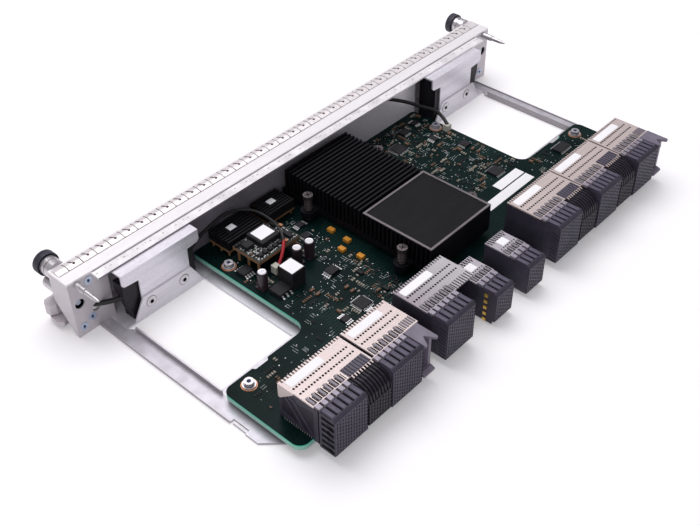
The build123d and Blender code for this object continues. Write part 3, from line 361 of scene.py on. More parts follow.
def shade(name, colour, roughness, metallic=0.0, grain=60, vary=0.12, bump=0.05, sheen=0.5, rough_vary=0.1):
    """One finish: a colour that drifts and speckles, a roughness that follows it and a fine bump"""
    material = bpy.data.materials.new(name)
    material.use_nodes = True
    tree = material.node_tree
    surface = tree.nodes["Principled BSDF"]
    surface.inputs["Metallic"].default_value = metallic
    surface.inputs["Specular IOR Level"].default_value = sheen
    scale = grain if isinstance(grain, tuple) else (grain, grain, grain)
    place = add_node(tree, "TexCoord", "Object", {})
    spot = add_node(tree, "Mapping", "Vector", {"Vector": place, "Scale": scale})
    drift = add_node(tree, "TexNoise", "Fac", {"Vector": spot, "Scale": 1.0, "Detail": 5.0})
    speckle = add_node(tree, "TexNoise", "Fac", {"Vector": spot, "Scale": 14.0, "Detail": 3.0})
    darker = (*(c * (1 - vary) for c in colour), 1)
    lighter = (*(min(1.0, c * (1 + vary)) for c in colour), 1)
    tree.links.new(mix(tree, ramp(tree, drift, 0.3, 0.7), darker, lighter), surface.inputs["Base Color"])
    smoothest = max(0.03, roughness - rough_vary)
    roughest = min(1.0, roughness + rough_vary)
    tree.links.new(ramp(tree, speckle, 0.3, 0.7, smoothest, roughest), surface.inputs["Roughness"])
    relief = {"Strength": bump, "Distance": 0.0004, "Height": speckle}
    tree.links.new(add_node(tree, "Bump", "Normal", relief), surface.inputs["Normal"])
    return material


def board_finish():
    """Solder mask with faint tracks in patches, and the laminate's brighter cut edge, with a painted
    highlight: a bright green band along the top of the cut edge
    """
    material = shade("Board mask", colours().board, 0.3, 0.0, 45, 0.35, 0.03, 0.06, 0.06)
    tree = material.node_tree
    place = object_place(tree)
    base = base_of(tree).links[0].from_socket
    bricks = {"Vector": place, "Scale": 110.0, "Mortar Size": 0.02, "Brick Width": 3.1, "Row Height": 0.21}
    bricks.update({"Color1": (0, 0, 0, 1), "Color2": (0, 0, 0, 1), "Mortar": (1, 1, 1, 1)})
    tracks = add_node(tree, "TexBrick", "Color", bricks, offset=0.37)
    patches = ramp(tree, add_node(tree, "TexNoise", "Fac", {"Vector": place, "Scale": 38.0}), 0.5, 0.56)
    faint = sum_of(tree, "MULTIPLY", sum_of(tree, "MULTIPLY", tracks, patches), 0.2)
    mask = mix(tree, faint, base, (0.07, 0.16, 0.13, 1))
    steep = ramp(tree, lean_of(tree, "Z"), 0.35, 0.3)
    # Painted highlight: the top of the cut edge turns bright green
    painted_highlight_band = ramp(tree, part_of(tree, place, "Z"), (BOARD_TOP - 0.9) * MM, (BOARD_TOP - 0.7) * MM)
    rim = mix(tree, painted_highlight_band, (0.30, 0.52, 0.44, 1), (0.06, 0.52, 0.36, 1))
    tree.links.new(mix(tree, steep, mask, rim), base_of(tree))
    return material


def blend_two(name, first, second, roughness, metallic, measure, low, high):
    """A finish that turns from one colour to another where a measure passes from low to high"""
    material = shade(name, first, roughness, metallic, 120, 0.15, 0.04, 0.35)
    tree = material.node_tree
    base = base_of(tree).links[0].from_socket
    other = second(tree) if callable(second) else (*second, 1)
    tree.links.new(mix(tree, ramp(tree, measure(tree), low, high), base, other), base_of(tree))
    return material


def rear_wall_painted_reflection_finish():
    """Bright folded flange; the standing wall carries painted shade and a painted reflection of the dark
    board, darker towards the near end
    """

    # Painted shade and reflection: the standing wall's colour runs from light at the far end to dark at the
    # near end
    def wall(tree):
        along = ramp(tree, part_of(tree, object_place(tree), "X"), -0.10, 0.06)
        return mix(tree, along, (0.85, 0.82, 0.86, 1), (0.22, 0.20, 0.24, 1))

    return blend_two("Rear wall", colours().panel, wall, 0.34, 0.3, lambda tree: lean_of(tree, "Y"), 0.5, 0.6)


def converter_finish():
    """Brown laminate at the edges and pins, dark mask on top"""
    edge, top = (0.20, 0.11, 0.055), (0.012, 0.018, 0.015)
    return blend_two("Converter laminate", edge, top, 0.5, 0.0, lambda tree: lean_of(tree, "Z"), 0.6, 0.7)


def rail_painted_shade_finish():
    """Pale sheet with darker standing lips: painted shade on the faces that look along X"""
    # Painted shade: the lips' colour is darker than the sheet's
    sheet, painted_lip_shade = (0.56, 0.54, 0.59), (0.34, 0.31, 0.335)
    return blend_two("Rail sheet", sheet, painted_lip_shade, 0.38, 0.4, lambda tree: lean_of(tree, "X"), 0.5, 0.6)


def near_wire_finish():
    """Black sleeve that turns red on its last stretch down to the header"""

    def depth(tree):
        return part_of(tree, object_place(tree), "Y")

    black, red = (0.012, 0.011, 0.012), (0.40, 0.025, 0.035)
    return blend_two("Near wire sleeve", black, red, 0.4, 0.0, depth, 0.0605, 0.0612)


def plate_finish():
    """Warm plate metal, greyer on the third connector"""
    material = shade("Cover plate", colours().plate, 0.36, 0.3, (25, 320, 320), 0.04, 0.03)
    tree = material.node_tree
    base = base_of(tree).links[0].from_socket
    along = part_of(tree, object_place(tree), "X")
    inside = sum_of(tree, "COMPARE", along, (MODULES[3] - 21) * MM, 22 * MM)
    fade = ramp(tree, along, (MODULES[3] - 42) * MM, MODULES[3] * MM)
    grey = mix(tree, fade, (0.46, 0.44, 0.46, 1), (0.29, 0.25, 0.29, 1))
    tree.links.new(mix(tree, inside, base, grey), base_of(tree))
    return material


# Plain finishes: label, colour or the name of a card colour, roughness, metallic, grain, vary, bump, sheen
PLAIN_FINISHES = {
    "panel_metal": ("Panel metal", "panel", 0.42, 0.3, (25, 260, 260), 0.03, 0.02),
    "screw_steel": ("Dark screw steel", (0.13, 0.11, 0.115), 0.3, 0.8, 160, 0.15, 0.04),
    "block_metal": ("End block metal", (0.60, 0.555, 0.59), 0.42, 0.3, (200, 30, 30), 0.07, 0.03),
    "gasket_metal": ("Gasket strip", (0.80, 0.755, 0.765), 0.36, 0.3, (300, 40, 40), 0.04, 0.02),
    "steel": ("Fastener steel", (0.60, 0.575, 0.60), 0.3, 0.8, 160, 0.1, 0.04),
    "dark_steel": ("Dark spring steel", (0.12, 0.10, 0.10), 0.35, 0.7, 160, 0.2, 0.04),
    "tray_metal": ("Tray sheet", "tray", 0.38, 0.4, (260, 25, 260), 0.06, 0.02),
    "guard_metal": ("Guard sheet", (0.80, 0.775, 0.84), 0.34, 0.45, (25, 260, 260), 0.1, 0.03),
    "black_plastic": ("Carrier moulding", "black", 0.42, 0.0, 120, 0.25, 0.12, 0.25),
    "knob_plastic": ("Thumb cap", (0.022, 0.021, 0.036), 0.38, 0.0, 200, 0.2, 0.08, 0.4),
    "sink_black": ("Heatsink anodising", "sink", 0.5, 0.0, (40, 160, 160), 0.3, 0.08, 0.12),
    "sink_rim": ("Heatsink cover rim", (0.16, 0.14, 0.15), 0.42, 0.3, 60, 0.2, 0.05),
    "brick_black": ("Brick anodising", (0.009, 0.009, 0.011), 0.45, 0.0, (90, 160, 160), 0.3, 0.08, 0.15),
    "chip_black": ("Chip moulding", (0.016, 0.015, 0.018), 0.5, 0.0, 220, 0.25, 0.1, 0.2),
    "laminate_brown": ("Converter laminate",(0.21, 0.115, 0.06), 0.5, 0.0, (150, 150, 900), 0.25, 0.08, 0.3),
    "sill_metal": ("Sill sheet", (0.78, 0.755, 0.81), 0.38, 0.4, (25, 260, 260), 0.08, 0.03),
    "body_violet": ("Connector bodies", (0.040, 0.035, 0.052), 0.45, 0.0, 140, 0.18, 0.1, 0.25),
    "capacitor_can": ("Can sleeve", (0.026, 0.016, 0.022), 0.35, 0.0, (60, 60, 300), 0.2, 0.04, 0.4),
    "can_top": ("Can top", (0.74, 0.72, 0.76), 0.3, 0.6, 200, 0.06, 0.03),
    "tantalum": ("Tantalum body", (0.62, 0.26, 0.03), 0.45, 0.0, 260, 0.12, 0.06, 0.3),
    "header_white": ("Header moulding", (0.50, 0.48, 0.42), 0.5, 0.0, 180, 0.08, 0.06, 0.3),
    "wire_black": ("Wire sleeve", (0.012, 0.011, 0.012), 0.4, 0.0, 200, 0.2, 0.06, 0.35),
    "small_plate": ("Small cover plate", (0.43, 0.39, 0.44), 0.36, 0.3, (25, 320, 320), 0.05, 0.03),
    "connector_grey": ("Contact housing", "housing", 0.45, 0.0, 140, 0.16, 0.1, 0.22),
    "front_frame": ("Contact frames", (0.056, 0.050, 0.074), 0.45, 0.0, 140, 0.16, 0.1, 0.25),
    "connector_light": ("Housing ridges", (0.085, 0.075, 0.115), 0.42, 0.0, 160, 0.14, 0.08, 0.3),
    "guide_grey": ("Guide moulding", (0.17, 0.15, 0.20), 0.42, 0.0, 160, 0.14, 0.08, 0.4),
    "comb_violet": ("Comb strip", (0.085, 0.074, 0.105), 0.4, 0.0, 160, 0.14, 0.08, 0.4),
    "connector_black": ("Block moulding", (0.020, 0.017, 0.026), 0.42, 0.0, 140, 0.2, 0.1, 0.2),
    # Painted shade: near-black colour in slots, holes, grooves and recesses
    "slot_black": ("Slot depth", (0.003, 0.003, 0.004), 0.7, 0.0, 200, 0.2, 0.02, 0.05),
    "lug_metal": ("Hook lugs", (0.30, 0.27, 0.33), 0.4, 0.3, 160, 0.1, 0.04),
    "strip_metal": ("Plate strips", (0.21, 0.185, 0.215), 0.4, 0.2, 160, 0.1, 0.04),
    "gold": ("Gold flash", (0.83, 0.52, 0.13), 0.28, 0.9, 200, 0.1, 0.04),
    "copper": ("Bare copper", (0.42, 0.19, 0.10), 0.4, 0.6, 200, 0.15, 0.04),
    "label_white": ("Blank label", (0.93, 0.92, 0.95), 0.5, 0.0, 90, 0.02, 0.03, 0.3),
    "standoff_brass": ("Spacer brass", (0.62, 0.50, 0.26), 0.35, 0.85, 160, 0.08, 0.04),
    "chip_lid": ("Chip lid", (0.45, 0.44, 0.45), 0.35, 0.8, 120, 0.06, 0.03),
    "solder": ("Solder", (0.70, 0.69, 0.70), 0.28, 0.6, 300, 0.12, 0.06),
    "print_white": ("Printed marks", (0.50, 0.53, 0.52), 0.5, 0.0, 300, 0.12, 0.02, 0.2),
    "tan_ceramic": ("Tan chips", (0.30, 0.27, 0.23), 0.5, 0.0, 300, 0.3, 0.05, 0.3),
    "ceramic": ("Ceramic chips", (0.15, 0.085, 0.055), 0.5, 0.0, 300, 0.35, 0.05, 0.3),
    "maroon": ("Strip seams", (0.085, 0.042, 0.045), 0.6, 0.0, 300, 0.2, 0.02, 0.2),
    "mark_grey": ("Punched marks", (0.13, 0.12, 0.14), 0.6, 0.0, 300, 0.2, 0.02, 0.2),
    "screw_blue": ("Plated screw", (0.50, 0.57, 0.70), 0.32, 0.6, 160, 0.08, 0.04),
    # Painted shade: dark blue in the screws' driver recesses and round the board screws' heads
    "painted_shade_blue": ("Driver recess", (0.020, 0.030, 0.085), 0.5, 0.0, 160, 0.1, 0.02, 0.2),
}
SPECIAL_FINISHES = {
    "rear_metal_painted_reflection": rear_wall_painted_reflection_finish,
    "board_green": board_finish,
    "converter_laminate": converter_finish,
    "rail_metal_painted_shade": rail_painted_shade_finish,
    "wire_near": near_wire_finish,
    "connector_tan": plate_finish,
}
FINISHES = {}


def finish(name):
    """Makes each finish once"""
    if name not in FINISHES:
        if name in SPECIAL_FINISHES:
            FINISHES[name] = SPECIAL_FINISHES[name]()
        else:
            label, colour, *rest = PLAIN_FINISHES[name]
            if isinstance(colour, str):
                colour = getattr(colours(), colour)
            FINISHES[name] = shade(label, colour, *rest)
    return FINISHES[name]


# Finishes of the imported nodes
NODE_FINISHES = {
    "panel_metal": "front_panel",
    # The rear wall's finish carries painted shade and a painted reflection
    "rear_metal_painted_reflection": "rear_wall",
    "block_metal": "end_block_near end_block_far ejector_lever_near ejector_lever_far",
    "gasket_metal": "gasket_strip",
    "steel": "thumb_ferrules thumbscrew_near thumbscrew_far lever_pins release_button_near "
    "release_button_far guard_rivets board_screws",
    "screw_steel": "spring_screws",
    "screw_blue": "block_screws",
    "sill_metal": "tray_sill",
    "tray_metal": "tray_pan",
    # The rails' finish carries painted shade on their standing lips
    "rail_metal_painted_shade": "tray_rail_near tray_rail_far",
    "guard_metal": "lever_guard_near lever_guard_far",
    "black_plastic": "switch_carrier_near switch_carrier_far",
    "board_green": "circuit_board",
    "standoff_brass": "board_standoffs",
    "sink_black": "heatsink heatsink_cover",
    "chip_lid": "chip_package",
    "brick_black": "brick_sinks",
    "laminate_brown": "brick_boards",
    "converter_laminate": "converter_board",
    "chip_black": "converter_parts tall_block board_chips",
    "capacitor_can": "can_capacitors",
    "tantalum": "tantalum_capacitors",
    "header_white": "wire_headers",
    "connector_tan": "connector_plates_near connector_plates_far",
    "small_plate": "small_plates",
    "connector_grey": "connector_fronts_near connector_fronts_far small_housings",
    "guide_grey": "guide_pieces",
    "connector_black": "finned_blocks",
    "body_violet": "connector_bodies",
    "gold": "side_contacts",
    "label_white": "blank_labels",
    "knob_plastic": "thumb_cap_near thumb_cap_far",
    "wire_black": "wire_near wire_far end_leads",
}


class CARD_OT_finish_nodes(bpy.types.Operator):
    """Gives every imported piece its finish"""

    bl_idname = "card.finish_nodes"
    bl_label = "Finish the packed pieces"

    def execute(self, context):
        for name, nodes in NODE_FINISHES.items():
            for node in nodes.split():
                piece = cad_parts[node]
                piece.data.materials.clear()
                piece.data.materials.append(finish(name))
        return {"FINISHED"}


# Cords: the route's points are the control points of one smooth spline
NEAR_WIRE = (
    (114.0, 24.0, 16.0),
    (103.0, 17.9, 16.2),
    (90.0, 17.6, 20.0),
    (76.0, 18.4, 23.4),
    (64.6, 25.0, 22.6),
    (62.6, 38.0, 22.8),
    (65.6, 54.0, 23.2),
    (73.0, 64.6, 18.5),
    (81.4, 66.8, 11.4),
)
FAR_WIRE = (
    (-72.0, 16.3, 33.0),
    (-84.0, 24.0, 29.0),
    (-96.0, 31.0, 21.0),
    (-106.0, 39.0, 16.6),
    (-101.0, 49.7, 12.6),
)
END_LEAD = ((179.2, 6.3, 12.8), (174.9, 18.6, 14.2), (158.2, 26.4, 16.9))


def lead(name, points, radius, finish_name):
    curve = bpy.data.curves.new(name, "CURVE")
    curve.dimensions = "3D"
    spline = curve.splines.new("NURBS")
    spline.points.add(len(points) - 1)
    for point, (x, y, z) in zip(spline.points, points):
        point.co = (x * MM, y * MM, z * MM, 1)
    spline.order_u = 3
    spline.use_endpoint_u = True
    spline.resolution_u = 10
    curve.bevel_depth = radius * MM
    curve.bevel_resolution = 5
    curve.use_fill_caps = True
    piece = bpy.data.objects.new(name, curve)
    bpy.context.collection.objects.link(piece)
    piece.data.materials.append(finish(finish_name))
    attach(piece, "card")
    return piece


class CARD_OT_wires(bpy.types.Operator):
    """Lays the sleeved wires and the two end leads along their routes"""

    bl_idname = "card.wires"
    bl_label = "Wires"

    def execute(self, context):
        near = lead("near_wire", NEAR_WIRE, 1.0, "wire_near")
        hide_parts("wire_near")
        far = lead("far_wire", FAR_WIRE, 1.25, "wire_black")
        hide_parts("wire_far")
        for name, side, slide in (("near_end_lead", 1, 0.0), ("far_end_lead", -1, END_SHIFT)):
            points = [(side * x + slide, y, z) for x, y, z in END_LEAD]
            end = lead(name, points, 1.5, "wire_black")
            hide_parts("end_leads")
        return {"FINISHED"}


class CARD_OT_gasket_marks(bpy.types.Operator):
    """Adds the seams between the gasket's fingers and the three small slots in each finger"""

    bl_idname = "card.gasket_marks"
    bl_label = "Gasket seams and slots"

    def execute(self, context):
        low = PANEL_TOP + 0.2
        seam = soften(block("seam", -0.27, 0.27, 1.7, 8.7, low, low + 0.28), 0.05, 1)
        places = [shift(FIRST_SEAM - FINGER_STEP * k, 0, 0) for k in range(FINGERS + 1)]
        set_out(seam, places, "gasket_seams", "maroon")
        slot = press(rod("slot", 0, 0, 0.7, -0.06, 0.06, 12), "+z", 0.1, -0.04)
        places = []
        for k in range(FINGERS):
            x = FIRST_SEAM - FINGER_STEP * (k + 0.5)
            places.append(shift(x - 0.4, 6.0, PANEL_TOP + 0.93, 0.0, (1.15, 1.15, 1.0)))
            places.append(shift(x + 0.3, 4.9, PANEL_TOP + 0.955, -0.9, (1.6, 0.5, 0.8)))
            places.append(shift(x + 1.1, 3.4, PANEL_TOP + 0.9, -0.8, (1.6, 0.45, 0.8)))
        set_out(slot, places, "gasket_slots", "maroon")
        for name, y0, y1 in (("gasket_edge", 8.85, 9.1), ("gasket_front_edge", 1.3, 1.5)):
            edge = block(name, -GASKET_HALF, GASKET_HALF, y0, y1, PANEL_TOP - 0.02, PANEL_TOP + 0.1)
            dress(soften(edge, 0.03, 1), "maroon")
        return {"FINISHED"}


class CARD_OT_panel_marks(bpy.types.Operator):
    """Adds the folded seam, the small punched marks and the screw recesses of the panel"""

    bl_idname = "card.panel_marks"
    bl_label = "Panel seam, marks and recesses"

    def execute(self, context):
        z = PANEL_TOP - 1.2
        seam = block("seam", -173.0, 173.0, PANEL_BACK + 0.02, PANEL_BACK + 0.3, z, z + 0.12)
        dress(soften(seam, 0.03, 1), "maroon")
        mark = soften(block("mark", -0.7, 0.7, -0.14, 0.14, -0.05, 0.05), 0.04, 1)
        places = []
        random.seed(11)
        for k in range(38):
            x = 172.0 - 9.3 * k
            places.append(shift(x, PANEL_BACK + 3.1, z + 0.04, 0.0, (0.9 + 0.5 * random.random(), 1, 1)))
            if k % 3 == 1:
                places.append(shift(x + 3.0, PANEL_BACK + 2.5, z + 0.04, 0.0, (0.6, 1, 1)))
        set_out(mark, places, "flange_marks", "mark_grey")
        # The screw recesses are painted dark blue: painted shade
        recess = rod_along_y("recess", 0, 0, 0.75, -0.2, 0.2, 6)
        places = []
        for side, slide in ((1, 0.0), (-1, END_SHIFT)):
            for x, h in ((176.4, 34.6), (178.8 - slide, 9.4), (185.1 - slide, 5.9)):
                places.append(shift(side * x, PANEL_BACK + 0.16, h, 0.0, (1, 1, 1.25)))
        set_out(recess, places, "block_screw_recesses", "painted_shade_blue")
        # The deep hole's floor is painted near-black: painted shade
        deep = rod_along_y("deep", 0, 0, 3.03, -0.15, 3.1, 32)
        choose(deep, facing("+y"))
        bpy.ops.mesh.inset(thickness=0.2 * MM)
        extrude(0, -2.9, 0)
        done()
        stub = rod_along_y("stub", 0.4, -0.2, 0.85, 0.1, 1.4, 16)
        holes = [shift(side * 184.4, PANEL_BACK - 3.84, 22.5) for side in (1, -1)]
        set_out(deep, holes, "deep_hole_floors", "slot_black")
        set_out(soften(stub, 0.15, 2), holes, "deep_hole_stubs", "steel")
        return {"FINISHED"}


class CARD_OT_rivet_marks(bpy.types.Operator):
    """Adds the rolled ring, the shadow line and the open eye of each tubular rivet"""

    bl_idname = "card.rivet_marks"
    bl_label = "Rivet rings"

    def execute(self, context):
        ring = rod_along_y("rivet_ring", 0, 0, 3.3, 0.0, 0.28, 32)
        choose(ring, facing("+y"))
        bpy.ops.mesh.inset(thickness=0.7 * MM)
        bpy.ops.transform.translate(value=(0, 0.22 * MM, 0))
        bpy.ops.mesh.inset(thickness=0.6 * MM)
        bpy.ops.transform.translate(value=(0, -0.12 * MM, 0))
        done()
        # The rivet's open eye is painted near-black: painted shade
        eye = press(rod_along_y("rivet_eye", 0, 0, 1.25, 0.0, 0.62, 16), "+y", 0.2)
        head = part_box("guard_rivets")[1][1] / MM - 0.5
        places = [shift(x, head, 9.2) for x in (124.4, 148.8, END_SHIFT - 124.4, END_SHIFT - 148.8)]
        dress(smooth(repeat(ring, places, "rivet_rings"), 30), "can_top")
        rim = press(rod_along_y("rivet_shadow", 0, 0, 3.65, -0.2, 0.1, 32), "+y", 0.1)
        set_out(rim, places, "rivet_shadows", "strip_metal")
        set_out(eye, places, "rivet_eyes", "slot_black")
        return {"FINISHED"}


class CARD_OT_thumb_caps(bpy.types.Operator):
    """Makes the knurled cap of each captive thumbscrew"""

    bl_idname = "card.thumb_caps"
    bl_label = "Thumbscrew caps"

    def execute(self, context):
        for name in ("near", "far"):
            node = "thumb_cap_" + name
            low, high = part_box(node)
            x = (low[0] + high[0]) / 2 / MM
            z = (low[2] + high[2]) / 2 / MM
            radius = (high[0] - low[0]) / 2 / MM
            rise = 1 + 0.1 / radius
            facets = sizes().knurls * 2
            cap = rod_along_y("cap_" + name, x, z, radius - 0.12, low[1] / MM, high[1] / MM, facets)
            choose(cap, lambda face: abs(face.normal.y) < 0.5 and face.index % 2 == 0)
            bpy.ops.mesh.inset(thickness=0.06 * MM, use_individual=True)
            bpy.ops.transform.resize(value=(rise, 1, rise), center_override=(x * MM, 0, z * MM))
            done()
            choose(cap, facing("-y"))
            bpy.ops.mesh.inset(thickness=0.9 * MM)
            bpy.ops.transform.translate(value=(0, 0.4 * MM, 0))
            bpy.ops.mesh.inset(thickness=0.8 * MM)
            done()
            press(cap, "+y", 1.1, -0.5)
            choose(cap, lambda face: face.normal.y < -0.9 and len(face.vertices) > 8)
            extrude(0, 0.5, 0)
            done()
            smooth(soften(cap, 0.12, 2), 30)
            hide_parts(node)
            dress(cap, "knob_plastic", "thumb_" + name)
        return {"FINISHED"}


class CARD_OT_springs(bpy.types.Operator):
    """Winds a real coil under each heatsink screw and dresses the screw heads"""

    bl_idname = "card.springs"
    bl_label = "Heatsink springs and screws"

    def execute(self, context):
        low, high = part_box("screw_springs")
        wire = sizes().spring_wire
        reach = 2.3 * MM
        half_coil = 2.7
        turns = 6.5
        deselect()
        bpy.ops.mesh.primitive_circle_add(
            vertices=8, radius=wire, fill_type="NGON", location=(reach, 0, wire), rotation=(QUARTER, 0, 0)
        )
        coil = settle("coil")
        wind = coil.modifiers.new("wind", "SCREW")
        wind.angle = math.tau * turns
        wind.screw_offset = high[2] - low[2] - 2 * wire
        wind.steps = int(20 * turns)
        wind.render_steps = wind.steps
        wind.use_normal_calculate = True
        bpy.ops.object.modifier_apply(modifier=wind.name)
        choose(coil, lambda face: True)
        bpy.ops.mesh.remove_doubles(threshold=0.00001)
        bpy.ops.mesh.select_all(action="DESELECT")
        bpy.ops.mesh.select_mode(type="EDGE")
        bpy.ops.mesh.select_non_manifold()
        bpy.ops.mesh.edge_face_add()
        bpy.ops.mesh.select_all(action="SELECT")
        bpy.ops.mesh.normals_make_consistent(inside=False)
        done()
        smooth(coil, 60)
        columns = (low[0] / MM + half_coil, high[0] / MM - half_coil)
        rows = (low[1] / MM + half_coil, high[1] / MM - half_coil)
        spots = [(x, y) for x in columns for y in rows]
        coils = repeat(coil, [shift(x, y, low[2] / MM) for x, y in spots], "heatsink_coils")
        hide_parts("screw_springs")
        dress(coils, "dark_steel")
        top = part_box("spring_screws")[1][2] / MM
        # The cross recess in each screw head is painted near-black: painted shade
        cross = block("cross", -2.0, 2.0, -0.32, 0.32, -0.12, 0.06)
        arm = block("arm", -0.32, 0.32, -2.0, 2.0, -0.12, 0.06)
        cross = gather([cross, arm], "cross")
        places = [shift(x, y, top, 0.6 + k) for k, (x, y) in enumerate(spots)]
        set_out(cross, places, "spring_screw_slots", "slot_black")
        return {"FINISHED"}


# Small parts on the board
def two_ended_chip(name, length, width, height):
    """A chip part: a body with a solder cap at each end"""
    chip = block(name, -length / 2, length / 2, -width / 2, width / 2, 0, height)
    for cut in (-0.27, 0.27):
        choose(chip, lambda face: True)
        bpy.ops.mesh.bisect(plane_co=(length * cut * MM, 0, 0), plane_no=(1, 0, 0))
        done()
    for face in chip.data.polygons:
        face.material_index = 1 if abs(face.center.x) > length * 0.26 * MM else 0
    return chip


def clear_of(x, y, taken, gap):
    for x0, x1, y0, y1 in taken:
        if x0 - gap < x < x1 + gap and y0 - gap < y < y1 + gap:
            return False
    return True


def square_round(x, y, reach_x, reach_y):
    return (x - reach_x, x + reach_x, y - reach_y, y + reach_y)


# Moulded packages that stand on the board: middle, size, height, and the leads on each side
PACKAGES = (
    (61.6, 91.3, 7.0, 6.0, 2.2, {"+x": 4, "-x": 4}),
    (93.6, 80.6, 9.6, 9.0, 2.8, {"+y": 3}),
    (96.0, 53.4, 7.5, 6.5, 2.4, {"+y": 4, "-y": 4}),
    (70.1, 122.4, 8.4, 8.4, 1.4, {"+y": 12, "-y": 12, "+x": 12, "-x": 12}),
    (-82.7, 104.3, 9.0, 8.0, 1.6, {"+y": 8, "-y": 8}),
    (-134.6, 121.6, 12.0, 7.0, 1.4, {"+y": 10, "-y": 10}),
    (86.0, 124.0, 5.0, 4.0, 1.2, {"+y": 4, "-y": 4}),
    (71.0, 132.0, 5.0, 3.6, 1.2, {"+y": 4, "-y": 4}),
    (48.0, 57.0, 5.0, 5.0, 1.4, {"+x": 5, "-x": 5}),
    (43.0, 47.0, 4.6, 4.6, 1.4, {"+x": 4, "-x": 4}),
    (-60.0, 40.0, 9.0, 9.0, 1.5, {"+y": 10, "-y": 10, "+x": 10, "-x": 10}),
    (-78.0, 30.0, 6.0, 6.0, 1.4, {"+y": 6, "-y": 6}),
    (-92.0, 28.0, 5.0, 4.0, 1.4, {"+y": 4, "-y": 4}),
    (-86.0, 50.0, 4.0, 6.0, 1.4, {"+x": 4, "-x": 4}),
    (-95.0, 70.0, 6.0, 6.0, 1.4, {"+x": 6, "-x": 6}),
)
# Where each side's leads start and how they turn
SIDES = {"+y": (0, 1, 0.0), "-y": (0, -1, math.pi), "+x": (1, 0, -QUARTER), "-x": (-1, 0, QUARTER)}


def taken_areas():
    areas = [square_round(x, y, wx / 2 + 1.6, wy / 2 + 1.6) for x, y, wx, wy, h, sides in PACKAGES]
    for node in ("heatsink", "converter_board", "tall_block"):
        low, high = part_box(node)
        areas.append((low[0] / MM, high[0] / MM, low[1] / MM, high[1] / MM))
    areas += [(64.0, 92.5, 18.8, 36.8), (36.0, 58.0, 18.8, 35.4)]
    areas += [(81.4, 85.4, 64.6, 69.0), (-103.2, -98.8, 47.6, 51.8)]
    areas += [square_round(x, y, 3.6, 3.6) for x, y in CANS]
    areas += [square_round(x, y, 1.8, 2.4) for x, y in TANTALUMS]
    areas += [(51.0, 52.8, 101.8, 106.6), (51.0, 52.9, 122.2, 127.0)]
    areas += [square_round(x, y, 4.6, 4.6) for x, y in BOARD_SCREWS]
    areas += [(-95.0, -69.0, 112.0, 119.0), (-95.0, -47.0, 120.0, 127.0)]
    return areas


# Fields of small parts: x0, x1, y0, y1, share of the whole
FIELDS = (
    (-102.0, -32.0, 20.0, 60.0, 0.30),
    (-102.0, -32.0, 60.0, 110.0, 0.24),
    (34.0, 60.0, 38.0, 142.0, 0.2),
    (58.0, 102.0, 38.0, 72.0, 0.06),
    (60.0, 102.0, 86.0, 142.0, 0.09),
    (-160.0, -100.0, 114.0, 142.0, 0.07),
    (104.0, 160.0, 116.0, 142.0, 0.04),
)
SMALL_KINDS = {
    "small_capacitors": ((1.6, 0.8, 0.7), "ceramic"),
    "small_resistors": ((1.6, 0.8, 0.5), "chip_black"),
    "tan_capacitors": ((1.6, 0.9, 0.8), "tan_ceramic"),
    "large_capacitors": ((3.0, 1.6, 1.3), "ceramic"),
}
SMALL_DRAW = ("small_capacitors", "small_resistors", "small_resistors", "small_resistors", "tan_capacitors")
CONVERTER_KINDS = {
    "converter_capacitors": ((1.7, 1.1, 0.9), "ceramic"),
    "converter_resistors": ((1.1, 0.6, 0.5), "chip_black"),
    "converter_beads": ((2.4, 1.7, 1.3), "copper"),
    "converter_pads": ((0.8, 0.6, 0.3), "solder"),
}
CONVERTER_DRAW = (
    "converter_capacitors",
    "converter_resistors",
    "converter_pads",
    "converter_pads",
    "converter_beads",
)


def set_out_chips(kinds, places):
    for kind, (size, body_finish) in kinds.items():
        set_out(two_ended_chip(kind, *size), places[kind], kind, body_finish + " solder")


class CARD_OT_small_parts(bpy.types.Operator):
    """Sets rows of small two-ended parts on the board, clear of the larger ones"""

    bl_idname = "card.small_parts"
    bl_label = "Small parts"

    def execute(self, context):
        random.seed(4018)
        taken = taken_areas()
        places = {kind: [] for kind in SMALL_KINDS}
        for x0, x1, y0, y1, share in FIELDS:
            wanted = int(sizes().chips * share)
            tries = 0
            while wanted > 0 and tries < 4000:
                tries += 1
                x = random.uniform(x0, x1)
                y = random.uniform(y0, y1)
                turned = random.random() < 0.5
                run = random.choice((1, 2, 2, 3, 3, 4, 5))
                kind = random.choice(SMALL_DRAW)
                if random.random() < 0.06:
                    kind = "large_capacitors"
                length, width, height = SMALL_KINDS[kind][0]
                half = length / 2 + 0.25
                for k in range(run):
                    px = x + (0 if turned else k * (width + 0.75))
                    py = y + (k * (width + 0.75) if turned else 0)
                    if px > x1 or py > y1 or not clear_of(px, py, taken, length * 0.6):
                        continue
                    places[kind].append(shift(px, py, BOARD_TOP - 0.02, 0.0 if turned else QUARTER))
                    reach = (half, width / 2) if turned else (width / 2, half)
                    taken.append(square_round(px, py, *reach))
                    wanted -= 1
        set_out_chips(SMALL_KINDS, places)
        return {"FINISHED"}


class CARD_OT_package_leads(bpy.types.Operator):
    """Bends the gull-wing leads of the moulded packages"""

    bl_idname = "card.package_leads"
    bl_label = "Package leads"

    def execute(self, context):
        leg = block("leg", -0.2, 0.2, -0.25, 0.55, 0.55, 0.75)
        choose(leg, facing("+y"))
        extrude(0, 0.3, -0.55)
        extrude(0, 0.6, 0)
        done()
        places = []
        for x, y, wx, wy, h, sides in PACKAGES:
            for side, count in sides.items():
                out_x, out_y, turn = SIDES[side]
                along = wx if out_y else wy
                size = min(1.6, along / count / 0.85)
                wide = size if count <= 4 else 0.55 * size
                reach = 1.6 if count <= 4 else 1.0
                scale = (wide * 1.6, reach, max(0.8, h / 1.5))
                for k in range(count):
                    t = (k - (count - 1) / 2) * along / count
                    px = x + (t if out_y else out_x * wx / 2)
                    py = y + (t if out_x else out_y * wy / 2)
                    places.append(shift(px, py, BOARD_TOP, turn, scale))
        set_out(leg, places, "package_leads", "solder")
        return {"FINISHED"}


